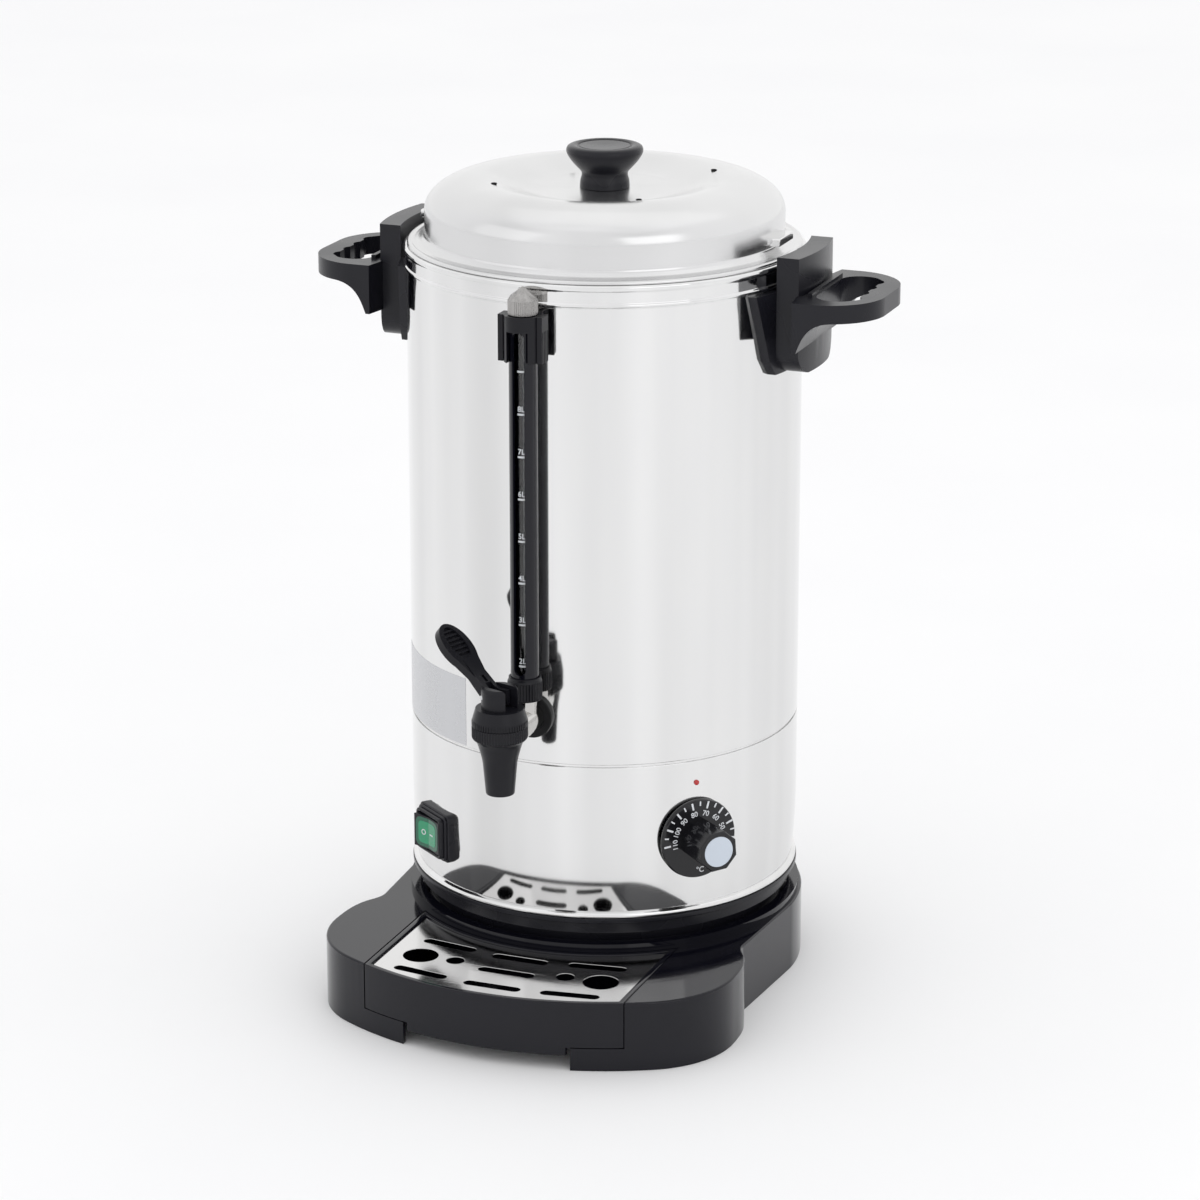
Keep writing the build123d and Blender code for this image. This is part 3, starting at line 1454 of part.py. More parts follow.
with BuildPart() as switch_rocker:
    with BuildSketch(rocker_section):
        with BuildLine():
            Polyline(
                (-rocker_width / 2, -rocker_tail),
                (rocker_width / 2, -rocker_tail),
                (rocker_width / 2, rocker_nose),
                (0, rocker_nose - rocker_dip),
                (-rocker_width / 2, rocker_nose),
                close=True,
            )
        make_face()
    extrude(amount=rocker_height / 2, both=True)
    with BuildSketch(rocker_section):
        Circle(rocker_pin_radius)
    extrude(amount=rocker_height / 2 + rocker_pin_length, both=True)
finish(switch_rocker, "switch_rocker")

# Heater under the tank floor, with its plate, cut-out and earth stud
plate_radius = 86.0
plate_thickness = 3.6
ring_mean_radius = 70.0
ring_section_radius = 4.2
cut_out_radius = 11.0
cut_out_height = 7.0
cut_out_y = -30.0
cut_out_tab = 3.0
stud_radius = 2.5
stud_length = 12.0
stud_y = 96.0
terminal_post_radius = 2.4
terminal_post_length = 16.0
terminal_post_turns = (70.0, 110.0)
bulb_notch = 0.4

with BuildPart() as heater_plate:
    with BuildSketch(Plane.XY.offset(floor_height - plate_thickness)):
        Circle(plate_radius)
        with Locations((bulb_x, bulb_y)):
            Rectangle(bulb_length + 2 * bulb_notch, 2 * (bulb_radius + bulb_notch), mode=Mode.SUBTRACT)
    extrude(amount=plate_thickness)
finish(heater_plate, "heater_plate")

ring_height = floor_height - plate_thickness - ring_section_radius
with BuildPart() as heater_ring:
    with BuildSketch(Plane.XZ):
        with Locations((ring_mean_radius, ring_height)):
            Circle(ring_section_radius)
    revolve(axis=Axis.Z)
    for turn in terminal_post_turns:
        with BuildSketch(wall_plane(turn, ring_mean_radius, ring_height)):
            Circle(terminal_post_radius)
        extrude(amount=terminal_post_length)
finish(heater_ring, "heater_ring")

with BuildPart() as cut_out:
    with BuildSketch(Plane.XY.offset(floor_height - plate_thickness - cut_out_height)):
        with Locations((0, cut_out_y)):
            Circle(cut_out_radius)
    extrude(amount=cut_out_height)
    with BuildSketch(Plane.XY.offset(floor_height - plate_thickness - cut_out_height - cut_out_tab)):
        with Locations((0, cut_out_y)):
            with GridLocations(cut_out_radius, 0, 2, 1):
                Rectangle(terminal_thickness, terminal_width)
    extrude(amount=cut_out_tab)
finish(cut_out, "cut_out")

with BuildPart() as earth_stud:
    with BuildSketch(Plane.XY.offset(floor_height - stud_length)):
        with Locations((0, stud_y)):
            Circle(stud_radius)
    extrude(amount=stud_length)
finish(earth_stud, "earth_stud")

# Cable gland in the back of the skirt and the terminal block on the base
gland_flange_radius = 9.5
gland_flange = 3.0
gland_inner_length = 8.0
block_length = 46.0
block_depth = 18.0
block_height = 14.0
block_y = 62.0
terminal_screw_radius = 2.4
terminal_screw_count = 3
terminal_screw_pitch = 14.0
base_floor = stand_height + foot_wall

with BuildPart() as cord_gland:
    with BuildSketch(wall_plane(gland_turn_place, inner_radius - gland_inner_length, gland_height)):
        Circle(gland_radius - fit_gap)
    extrude(amount=gland_inner_length + sheet + gland_flange)
    with BuildSketch(wall_plane(gland_turn_place, body_radius - sheet, gland_height)):
        Circle(gland_flange_radius)
    flange = extrude(amount=gland_flange + sheet, mode=Mode.PRIVATE)
    with BuildSketch(Plane.XY.offset(skirt_bottom)):
        Circle(body_radius + fit_gap / 2)
    inside = extrude(amount=seam_height - skirt_bottom, mode=Mode.PRIVATE)
    add(flange - inside)
    with BuildSketch(wall_plane(gland_turn_place, inner_radius - gland_inner_length, gland_height)):
        Circle(cord_radius)
    extrude(amount=overrun, mode=Mode.SUBTRACT)
finish(cord_gland, "cord_gland")

with BuildPart() as terminal_block:
    with BuildSketch(Plane.XY.offset(base_floor)):
        with Locations((0, block_y)):
            Rectangle(block_length, block_depth)
    extrude(amount=block_height)
    with BuildSketch(Plane.XY.offset(base_floor + block_height)):
        with Locations((0, block_y)):
            with GridLocations(terminal_screw_pitch, 0, terminal_screw_count, 1):
                Circle(terminal_screw_radius)
    extrude(amount=-block_height / 2, mode=Mode.SUBTRACT)
finish(terminal_block, "terminal_block")

with BuildPart() as terminal_screws:
    with BuildSketch(Plane.XY.offset(base_floor + block_height / 2)):
        with Locations((0, block_y)):
            with GridLocations(terminal_screw_pitch, 0, terminal_screw_count, 1):
                Circle(terminal_screw_radius - fit_gap)
    extrude(amount=block_height / 3)
finish(terminal_screws, "terminal_screws")
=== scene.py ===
"""Finishes, fine shapes, light and camera for a hot water dispenser on its stand."""
import logging
from dataclasses import dataclass, field
from enum import Enum
from functools import cache
from math import asin, atan2, cos, degrees, hypot, pi, radians, sin, sqrt
from typing import Callable, Iterable, Optional, Sequence, Union

import bmesh
import bpy
from mathutils import Matrix, Vector


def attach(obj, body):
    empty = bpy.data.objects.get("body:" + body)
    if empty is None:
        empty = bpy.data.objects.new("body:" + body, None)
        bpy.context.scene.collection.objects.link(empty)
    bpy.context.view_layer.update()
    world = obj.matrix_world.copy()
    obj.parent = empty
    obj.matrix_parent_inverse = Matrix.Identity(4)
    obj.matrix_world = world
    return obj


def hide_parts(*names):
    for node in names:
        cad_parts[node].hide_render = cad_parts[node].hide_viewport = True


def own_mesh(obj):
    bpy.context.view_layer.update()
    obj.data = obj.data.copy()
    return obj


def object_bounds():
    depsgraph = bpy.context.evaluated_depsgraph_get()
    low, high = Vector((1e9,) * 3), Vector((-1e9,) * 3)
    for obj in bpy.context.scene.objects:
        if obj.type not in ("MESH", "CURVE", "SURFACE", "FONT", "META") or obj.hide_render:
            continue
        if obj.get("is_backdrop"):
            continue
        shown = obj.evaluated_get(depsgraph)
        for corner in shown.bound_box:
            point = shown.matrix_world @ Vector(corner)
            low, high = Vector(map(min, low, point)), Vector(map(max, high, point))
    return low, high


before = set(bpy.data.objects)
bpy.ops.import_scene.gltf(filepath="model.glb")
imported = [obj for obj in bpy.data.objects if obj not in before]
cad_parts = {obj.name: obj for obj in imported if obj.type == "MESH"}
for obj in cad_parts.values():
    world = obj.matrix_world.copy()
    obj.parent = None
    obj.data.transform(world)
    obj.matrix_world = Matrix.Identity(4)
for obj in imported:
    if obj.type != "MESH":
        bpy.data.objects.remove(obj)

LOG = logging.getLogger("dispenser")
MM = 0.001
# The noise values that colours and roughness spread over, and a noise that is alike along all axes.
NOISE_RANGE = (0.3, 0.7)
EVEN = (1.0, 1.0, 1.0)
# A smaller radius in millimetres closes a turned piece in a point.
ON_AXIS = 1e-6
# The most of a side that one corner's rounding takes up.
CORNER_SHARE = 0.48
# How much a letter's strokes swell, as a share of its size.
BOLDNESS = 0.012
# Corners closer than this, in metres, are one, and faces that turn by fewer degrees are one flat.
PLATE_WELD = 1e-6
SOLID_WELD = 2e-6
FLAT_TURN = 0.6

Outline = list[tuple[float, ...]]
Corners = tuple[tuple[float, ...], ...]
Relief = Callable[[float, float, float], float]
Socket = bpy.types.NodeSocket
Triple = tuple[float, float, float]


class Body(Enum):
    """The bodies that pieces ride on."""

    DISPENSER = "dispenser"
    LID = "lid"
    LEVER = "lever"
    DIAL = "dial"
    ROCKER = "rocker"
    TRAY = "tray"
    GRILLE = "grille"
    CAP = "cap"


# Finishes


class Nodes:
    """A small helper that adds and joins the nodes of one material."""

    def __init__(self, name: str) -> None:
        """Starts an empty material with its shader and output.

        Args:
            name: the material's name.
        """
        self.material = bpy.data.materials.new(name)
        self.material.use_nodes = True
        self.tree = self.material.node_tree
        self.shader = self.tree.nodes["Principled BSDF"]
        self.place = self.tree.nodes.new("ShaderNodeTexCoord")

    def feed(self, node: bpy.types.Node, sockets: dict[str, object]) -> None:
        """Sets or joins a node's inputs.

        Args:
            node: the node.
            sockets: input name, with underscores for spaces, to a value or an output socket.
        """
        for key, value in sockets.items():
            socket = node.inputs[key.replace("_", " ")]
            if isinstance(value, Socket):
                self.tree.links.new(value, socket)
            else:
                socket.default_value = value

    def add(self, kind: str, **sockets: object) -> bpy.types.Node:
        """Adds one node.

        Args:
            kind: the node's type, without its prefix.
            sockets: what its inputs are fed with.

        Returns:
            The new node.
        """
        node = self.tree.nodes.new("ShaderNode" + kind)
        self.feed(node, sockets)
        return node

    def noise(self, scale: float, stretch: Sequence[float] = EVEN, detail: float = 3.0) -> Socket:
        """Noise over the object.

        Args:
            scale: features per metre.
            stretch: how much denser the noise is along each axis.
            detail: octaves of finer noise.

        Returns:
            The noise value's socket.
        """
        mapping = self.add("Mapping", Vector=self.place.outputs["Object"], Scale=tuple(stretch))
        return self.add("TexNoise", Vector=mapping.outputs[0], Scale=scale, Detail=detail).outputs[0]

    def spread(self, source: Socket, low: float, high: float) -> Socket:
        """Maps a noise value's middle range to low and high.

        Args:
            source: the value's socket.
            low: the result at the start of NOISE_RANGE.
            high: the result at its end.

        Returns:
            The mapped value's socket.
        """
        node = self.add("MapRange", Value=source)
        for place, value in enumerate((*NOISE_RANGE, low, high), 1):
            node.inputs[place].default_value = value
        return node.outputs[0]

    def total(self, one: Socket, two: Socket) -> Socket:
        """The sum of two values.

        Args:
            one: the first value's socket.
            two: the second value's socket.

        Returns:
            The sum's socket.
        """
        node = self.add("Math")
        node.operation = "ADD"
        for place, value in enumerate((one, two)):
            self.tree.links.new(value, node.inputs[place])
        return node.outputs[0]

    def tint(self, factor: Socket, one: Sequence[float], two: Sequence[float]) -> Socket:
        """A colour between two by a noise value.

        Args:
            factor: the noise value's socket.
            one: the colour at the start of NOISE_RANGE.
            two: the colour at its end.

        Returns:
            The colour's socket.
        """
        ramp = self.add("ValToRGB", Fac=factor)
        for stop, place, colour in zip(ramp.color_ramp.elements, NOISE_RANGE, (one, two)):
            stop.position = place
            stop.color = (*colour, 1.0)
        return ramp.outputs[0]

    def bump(self, height: Socket, depth: float, under: Optional[Socket] = None) -> Socket:
        """A bump of a real depth.

        Args:
            height: the socket of the height, from 0 to 1.
            depth: the height's full range in metres.
            under: the normal of a coarser bump below this one.

        Returns:
            The normal's socket.
        """
        node = self.add("Bump", Height=height, Distance=depth, Strength=1.0)
        if under is not None:
            self.tree.links.new(under, node.inputs["Normal"])
        return node.outputs[0]

    def join(self, **sockets: object) -> bpy.types.Material:
        """Feeds the shader.

        Args:
            sockets: what its inputs are fed with.

        Returns:
            The material.
        """
        self.feed(self.shader, sockets)
        return self.material


@dataclass(frozen=True)
class Metal:
    """Sheet or turned metal with a fine grain that runs round it, broad bands and a slight waviness.

    Depths are in metres and scales in features per metre.
    """

    name: str
    colour: Triple
    roughness: float = 0.1
    grain: float = 0.02
    grain_depth: float = 1.5e-6
    grain_scale: float = 2600.0
    stretch: Triple = (0.02, 0.02, 1.0)
    wave_depth: float = 0.0
    wave_scale: float = 6.0
    band: float = 0.06
    band_scale: float = 16.0
    band_stretch: Triple = (1.0, 1.0, 0.02)
    metallic: float = 1.0

    def build(self) -> bpy.types.Material:
        """Makes the material.

        Returns:
            The material.
        """
        nodes = Nodes(self.name)
        grain = nodes.noise(self.grain_scale, self.stretch, 4.0)
        bands = nodes.noise(self.band_scale, self.band_stretch, 2.5)
        rough = nodes.total(
            nodes.spread(grain, self.roughness - self.grain, self.roughness + self.grain),
            nodes.spread(bands, -self.grain, self.grain),
        )
        dark = tuple(channel * (1.0 - self.band) for channel in self.colour)
        waves = None
        if self.wave_depth:
            waves = nodes.bump(nodes.noise(self.wave_scale, detail=1.0), self.wave_depth)
        return nodes.join(
            Base_Color=nodes.tint(bands, dark, self.colour),
            Metallic=self.metallic,
            Roughness=rough,
            Normal=nodes.bump(grain, self.grain_depth, waves),
        )


@dataclass(frozen=True)
class Moulded:
    """Moulded plastic or rubber with a fine spark-eroded grain.

    Depths are in metres and scales in features per metre.
    """

    name: str
    colour: Triple
    roughness: float = 0.4
    spread: float = 0.06
    grain_scale: float = 2200.0
    grain_depth: float = 1e-5
    cloud_scale: float = 25.0
    shade: float = 0.86
    specular: float = 0.5
    coat: float = 0.0
    coat_roughness: float = 0.04
    glow: float = 0.0
    through: float = 0.0

    def build(self) -> bpy.types.Material:
        """Makes the material.

        Returns:
            The material.
        """
        nodes = Nodes(self.name)
        grain = nodes.noise(self.grain_scale, detail=2.0)
        cloud = nodes.noise(self.cloud_scale, detail=1.0)
        dark = tuple(channel * self.shade for channel in self.colour)
        if self.glow:
            nodes.join(Emission_Color=(*self.colour, 1.0), Emission_Strength=self.glow)
        return nodes.join(
            Base_Color=nodes.tint(cloud, dark, self.colour),
            Roughness=nodes.spread(cloud, self.roughness - self.spread, self.roughness + self.spread),
            Normal=nodes.bump(grain, self.grain_depth),
            Specular_IOR_Level=self.specular,
            Coat_Weight=self.coat,
            Coat_Roughness=self.coat_roughness,
            Transmission_Weight=self.through,
        )


@dataclass(frozen=True)
class Glass:
    """Clear drawn glass with faint drawing lines, which run up the tube."""

    name: str
    colour: Triple = (0.96, 0.98, 0.98)
    roughness: tuple[float, float] = (0.01, 0.03)
    line_scale: float = 900.0
    line_depth: float = 4e-6
    stretch: Triple = (1.0, 1.0, 0.01)
    refraction: float = 1.47

    def build(self) -> bpy.types.Material:
        """Makes the material.

        Returns:
            The material.
        """
        nodes = Nodes(self.name)
        lines = nodes.noise(self.line_scale, self.stretch, 2.0)
        return nodes.join(
            Base_Color=nodes.tint(lines, self.colour, EVEN),
            Roughness=nodes.spread(lines, *self.roughness),
            Normal=nodes.bump(lines, self.line_depth),
            Transmission_Weight=1.0,
            IOR=self.refraction,
        )


class Look(Enum):
    """The finishes of the dispenser's pieces."""

    POLISHED_STEEL = Metal(
        "polished_steel", (0.86, 0.86, 0.857), 0.075, 0.015, 5e-7, wave_depth=2e-4, band=0.20, band_scale=20.0
    )
    INNER_STEEL = Metal(
        "inner_steel", (0.78, 0.78, 0.775), 0.32, 0.04, 1e-6, wave_depth=1e-4, band=0.1, metallic=0.4
    )
    LID_STEEL = Metal("lid_steel", (0.75, 0.75, 0.75), 0.22, 0.02, 4e-7, wave_depth=1e-4, band=0.10)
    SATIN_STEEL = Metal(
        "satin_steel", (0.74, 0.735, 0.73), 0.12, 0.03, 1e-6, wave_depth=1e-4, stretch=(1.0, 0.02, 0.02)
    )
    ZINC_STEEL = Metal("zinc_steel", (0.62, 0.63, 0.64), 0.34, 0.06, 1e-5)
    PLATED_BRASS = Metal("plated_brass", (0.62, 0.61, 0.59), 0.07, 0.02, 2e-6, band=0.2, band_scale=60.0)
    KNURLED_METAL = Metal(
        "knurled_metal", (0.44, 0.43, 0.42), 0.30, 0.06, 1.2e-4,
        stretch=(0.5, 0.5, 0.5), band=0.3, band_scale=400.0,
    )
    HEATER_METAL = Metal("heater_metal", (0.66, 0.66, 0.66), 0.45, 0.1, 3e-5, stretch=EVEN)
    COPPER_BULB = Metal("copper_bulb", (0.78, 0.46, 0.32), 0.28, 0.06, 1e-5, stretch=EVEN)
    FOIL = Metal("foil", (0.60, 0.605, 0.62), 0.30, 0.04, 8e-7, stretch=(0.3, 0.3, 0.3), band_scale=60.0)
    BLACK_GLOSS = Moulded(
        "black_gloss", (0.005, 0.005, 0.009), 0.10, 0.03, 900.0, 1e-6, specular=0.26, coat=0.15
    )
    BLACK_SATIN = Moulded("black_satin", (0.010, 0.010, 0.014), 0.27, 0.03, 2400.0, 3e-6, specular=0.28)
    BLACK_MATTE = Moulded("black_matte", (0.008, 0.008, 0.011), 0.30, 0.03, 1800.0, 4e-6, specular=0.24)
    DIAL_BLACK = Moulded("dial_black", (0.006, 0.006, 0.008), 0.13, 0.02, 1500.0, 1e-6, specular=0.45)
    # Black rubber, and also painted shade in the lid's vent holes.
    BLACK_RUBBER_AND_SHADE = Moulded("black_rubber", (0.006, 0.006, 0.007), 0.40, 0.04, 1200.0, 6e-6, specular=0.22)
    CLEAR_SILICONE = Moulded("clear_silicone", (0.80, 0.80, 0.78), 0.35, 0.05, 800.0, 1e-5, through=0.5)
    SCALE_BLACK = Moulded("scale_black", (0.035, 0.042, 0.055), 0.4, 0.05, 3000.0, 6e-6)
    MARK_WHITE = Moulded("mark_white", (0.80, 0.82, 0.85), 0.5, 0.04, 3000.0, 4e-6)
    GREEN_LIT = Moulded(
        "green_lit", (0.0, 0.30, 0.13), 0.20, 0.03, 400.0, 4e-6, coat=0.4, glow=0.10, through=0.1
    )
    GREEN_DEEP = Moulded("green_deep", (0.0, 0.11, 0.055), 0.24, 0.03, 400.0, 4e-6, coat=0.3, glow=0.03)
    PALE_CAP = Moulded("pale_cap", (0.60, 0.66, 0.74), 0.32, 0.04, 1400.0, 6e-6)
    RED_LENS = Moulded(
        "red_lens", (0.45, 0.010, 0.008), 0.18, 0.03, 500.0, 4e-6, coat=0.5, glow=0.1, through=0.1
    )
    CREAM_PLASTIC = Moulded("cream_plastic", (0.74, 0.70, 0.62), 0.5, 0.06, 900.0, 2e-5)
    GAUGE_GLASS = Glass("gauge_glass")


@cache
def finish(look: Look) -> bpy.types.Material:
    """The material of a look, made once.

    Args:
        look: the look.

    Returns:
        Its material.
    """
    return look.value.build()


# Making and handing over pieces


def hand_over(
    piece: bpy.types.Object, look: Look, body: Body, nodes: Iterable[str] = (), sharp: float = 32.0
) -> bpy.types.Object:
    """Dresses a piece, lets it ride its body and hides the solids that it stands for.

    Args:
        piece: the finished mesh object.
        look: its finish.
        body: the body that it moves with.
        nodes: the solids that it stands for.
        sharp: edges with more than this angle stay sharp in the shading.

    Returns:
        The same piece.
    """
    piece.data.materials.clear()
    piece.data.materials.append(finish(look))
    for face in piece.data.polygons:
        face.use_smooth = True
    piece.data.set_sharp_from_angle(angle=radians(sharp))
    even = piece.modifiers.new("even_shading", "WEIGHTED_NORMAL")
    even.keep_sharp, even.weight = True, 80
    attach(piece, body.value)
    if nodes:
        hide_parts(*nodes)
    LOG.info("made %s", piece.name)
    return piece


def from_bmesh(name: str, work: bmesh.types.BMesh) -> bpy.types.Object:
    """Turns worked faces into a linked object.

    Args:
        name: the object's name.
        work: the faces, in metres.

    Returns:
        The new object.
    """
    bmesh.ops.recalc_face_normals(work, faces=work.faces)
    mesh = bpy.data.meshes.new(name)
    work.to_mesh(mesh)
    work.free()
    piece = bpy.data.objects.new(name, mesh)
    bpy.context.scene.collection.objects.link(piece)
    return piece


def from_curve(
    name: str, curve: Union[bpy.types.Curve, bpy.types.TextCurve], place: Matrix, rise: float = 0.0
) -> bmesh.types.BMesh:
    """Takes a filled curve's faces to their place and uses the curve up.

    Args:
        name: a name for the work.
        curve: the curve or the text, drawn in metres.
        place: its plane, in millimetres.
        rise: how far above the plane its middle stands, in millimetres.

    Returns:
        The faces, in metres.
    """
    holder = bpy.data.objects.new(name + "_curve", curve)
    bpy.context.scene.collection.objects.link(holder)
    bpy.context.view_layer.update()
    mesh = bpy.data.meshes.new_from_object(holder.evaluated_get(bpy.context.evaluated_depsgraph_get()))
    bpy.data.objects.remove(holder)
    bpy.data.curves.remove(curve)
    scaled = place.copy()
    scaled.translation = place.translation * MM
    mesh.transform(scaled @ Matrix.Translation((0, 0, rise * MM)))
    work = bmesh.new()
    work.from_mesh(mesh)
    bpy.data.meshes.remove(mesh)
    return work


def strip(
    work: bmesh.types.BMesh, one: Sequence[bmesh.types.BMVert], two: Sequence[bmesh.types.BMVert]
) -> None:
    """Fills faces between two rows with as many corners each.

    Args:
        work: the faces so far.
        one: the first row.
        two: the second row.
    """
    for step in range(len(one) - 1):
        work.faces.new((one[step], one[step + 1], two[step + 1], two[step]))


def rounded(points: Sequence[Sequence[float]], reach: float, steps: int = 3) -> Outline:
    """Rounds the corners of a closed outline.

    Args:
        points: the corners; a third number is that corner's own reach.
        reach: how far from a corner its rounding starts.
        steps: the number of short edges that replace a corner.

    Returns:
        The rounded outline.
    """
    done: Outline = []
    for index, point in enumerate(points):
        here = Vector(point[:2])
        wanted = point[2] if len(point) > 2 else reach
        if wanted <= 0:
            done.append(tuple(here))
            continue
        before = Vector(points[index - 1][:2]) - here
        after = Vector(points[(index + 1) % len(points)][:2]) - here
        start = here + before.normalized() * min(wanted, before.length * CORNER_SHARE)
        end = here + after.normalized() * min(wanted, after.length * CORNER_SHARE)
        for step in range(steps + 1):
            share = step / steps
            done.append(tuple(start * (1 - share) ** 2 + here * 2 * share * (1 - share) + end * share**2))
    return done


def section(
    corners: Corners, out: float = 0.0, up: float = 0.0, reach: float = 0.3, steps: int = 3
) -> Outline:
    """The section of a turned piece.

    Args:
        corners: each corner's radius and height, and its own reach where it has one.
        out: what is added to the radii.
        up: what is added to the heights.
        reach: how far from the other corners their rounding starts.
        steps: the number of short edges that replace a corner.

    Returns:
        The rounded outline.
    """
    return rounded([(out + radius, up + height, *own) for radius, height, *own in corners], reach, steps)


def arc(centre: tuple[float, float], radius: float, start: float, end: float, steps: int = 8) -> Outline:
    """Points along an arc.

    Args:
        centre: its middle.
        radius: its radius.
        start: the first angle in degrees.
        end: the last angle in degrees.
        steps: the number of short edges.

    Returns:
        The points.
    """
    turns = [radians(start + (end - start) * step / steps) for step in range(steps + 1)]
    return [(centre[0] + radius * cos(turn), centre[1] + radius * sin(turn)) for turn in turns]


def box(width: float, height: float, corner: float) -> Outline:
    """A rectangle with rounded corners about its middle."""
    x, y = width / 2, height / 2
    return rounded([(-x, -y), (x, -y), (x, y), (-x, y)], corner, 6)


def upright(x: float = 0.0, y: float = 0.0, z: float = 0.0) -> Matrix:
    """A place with its own z up."""
    return Matrix.Translation((x, y, z))


def on_wall(turn: float, reach: float, height: float) -> Matrix:
    """A place square to the round body, with its z outward and its y up.

    Args:
        turn: degrees round the body from the tap, positive towards +X.
        reach: distance from the body's axis in millimetres.
        height: height above the floor in millimetres.

    Returns:
        The place as a matrix.
    """
    out = Vector((sin(radians(turn)), -cos(radians(turn)), 0))
    side = Vector((cos(radians(turn)), sin(radians(turn)), 0))
    up = Vector((0, 0, 1))
    turned = Matrix((side, up, out)).transposed().to_4x4()
    return Matrix.Translation((out.x * reach, out.y * reach, height)) @ turned


def lathe(
    name: str,
    outline: Sequence[Sequence[float]],
    place: Matrix,
    segments: int = 160,
    relief: Optional[Relief] = None,
) -> bpy.types.Object:
    """A closed outline turned about the place's z axis.

    Args:
        name: the object's name.
        outline: radius and height of each point, in millimetres.
        place: where the axis stands.
        segments: steps round the axis.
        relief: gives the radius for an angle, a radius and a height.

    Returns:
        The turned object.
    """
    work = bmesh.new()
    rings: list[list[bmesh.types.BMVert]] = []
    for radius, height in (point[:2] for point in outline):
        if radius < ON_AXIS:
            rings.append([work.verts.new(place @ Vector((0, 0, height)) * MM)])
            continue
        ring = []
        for step in range(segments):
            turn = 2 * pi * step / segments
            reach = relief(turn, radius, height) if relief else radius
            ring.append(work.verts.new(place @ Vector((reach * cos(turn), reach * sin(turn), height)) * MM))
        rings.append(ring)
    for index, low in enumerate(rings):
        high = rings[(index + 1) % len(rings)]
        if len(low) == 1 and len(high) == 1:
            continue
        for step in range(segments):
            after = (step + 1) % segments
            corners = [low[0]] if len(low) == 1 else [low[step], low[after]]
            corners += [high[0]] if len(high) == 1 else [high[after], high[step]]
            work.faces.new(corners)
    return from_bmesh(name, work)


@dataclass(frozen=True)
class Ribs:
    """Fine ribs round a turned piece, on points between two heights and over a radius."""

    count: int
    depth: float
    low: float
    high: float
    over: float

    def relief(self, turn: float, radius: float, height: float) -> float:
        """The radius with its groove cut away.

        Args:
            turn: the point's angle in radians.
            radius: its radius without ribs.
            height: its height.

        Returns:
            Its radius with ribs.
        """
        if radius < self.over or not self.low <= height <= self.high:
            return radius
        phase = (turn * self.count / (2 * pi)) % 1.0
        return radius - self.depth * (0.5 - 0.5 * cos(2 * pi * phase))


def plate(
    name: str, outlines: Sequence[Outline], place: Matrix, low: float, high: float, edge: float = 0.5
) -> bpy.types.Object:
    """A flat piece with holes and rounded edges.

    Args:
        name: the object's name.
        outlines: the outer outline and then the holes, in millimetres.
        place: the plane of the outlines.
        low: the lower face's height over the plane.
        high: the upper face's height.
        edge: the rounding of its edges.

    Returns:
        The plate.
    """
    curve = bpy.data.curves.new(name, "CURVE")
    curve.dimensions, curve.fill_mode = "2D", "BOTH"
    curve.extrude = ((high - low) / 2 - edge) * MM
    curve.bevel_depth, curve.bevel_resolution, curve.offset = edge * MM, 2, -edge * MM
    for outline in outlines:
        spline = curve.splines.new("POLY")
        spline.points.add(len(outline) - 1)
        for spot, point in zip(spline.points, outline):
            spot.co = (point[0] * MM, point[1] * MM, 0, 1)
        spline.use_cyclic_u = True
    work = from_curve(name, curve, place, (low + high) / 2)
    bmesh.ops.remove_doubles(work, verts=work.verts, dist=PLATE_WELD)
    return from_bmesh(name, work)


def softened(node: str, name: str, width: float, steps: int = 3, sharp: float = 28.0) -> bpy.types.Object:
    """A copy of a solid with its sharp edges rounded over.

    Args:
        node: the solid's name.
        name: the new object's name.
        width: the width of the rounding in millimetres.
        steps: its number of facets.
        sharp: only edges with more than this angle are rounded.

    Returns:
        The rounded copy.
    """
    work = bmesh.new()
    work.from_mesh(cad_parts[node].data)
    bmesh.ops.remove_doubles(work, verts=work.verts, dist=SOLID_WELD)
    bmesh.ops.dissolve_limit(work, angle_limit=radians(FLAT_TURN), verts=work.verts, edges=work.edges)
    edges = [e for e in work.edges if len(e.link_faces) == 2 and e.calc_face_angle(0) > radians(sharp)]
    bmesh.ops.bevel(
        work, geom=edges, offset=width * MM, offset_type="OFFSET", segments=steps, profile=0.5,
        affect="EDGES", clamp_overlap=True,
    )
    bmesh.ops.triangulate(work, faces=[f for f in work.faces if len(f.verts) > 4])
    return from_bmesh(name, work)


def lettering(name: str, words: str, size: float, place: Matrix, rise: float = 0.06) -> bpy.types.Object:
    """Raised print of a number or a mark.

    Args:
        name: the object's name.
        words: what it says.
        size: the height of its body in millimetres.
        place: its middle and plane.
        rise: its thickness in millimetres.

    Returns:
        The print as a mesh.
    """
    text = bpy.data.curves.new(name, "FONT")
    text.body, text.size, text.align_x, text.align_y = words, size * MM, "CENTER", "CENTER"
    text.extrude, text.offset = rise * MM, size * BOLDNESS * MM
    return from_bmesh(name, from_curve(name, text, place))


def merged(name: str, pieces: Sequence[bpy.types.Object]) -> bpy.types.Object:
    """Joins several meshes into one object.

    Args:
        name: the new object's name.
        pieces: the meshes, which are used up.

    Returns:
        The joined object.
    """
    work = bmesh.new()
    for piece in pieces:
        work.from_mesh(piece.data)
        mesh = piece.data
        bpy.data.objects.remove(piece)
        bpy.data.meshes.remove(mesh)
    mesh = bpy.data.meshes.new(name)
    work.to_mesh(mesh)
    work.free()
    joined = bpy.data.objects.new(name, mesh)
    bpy.context.scene.collection.objects.link(joined)
    return joined


# The round body


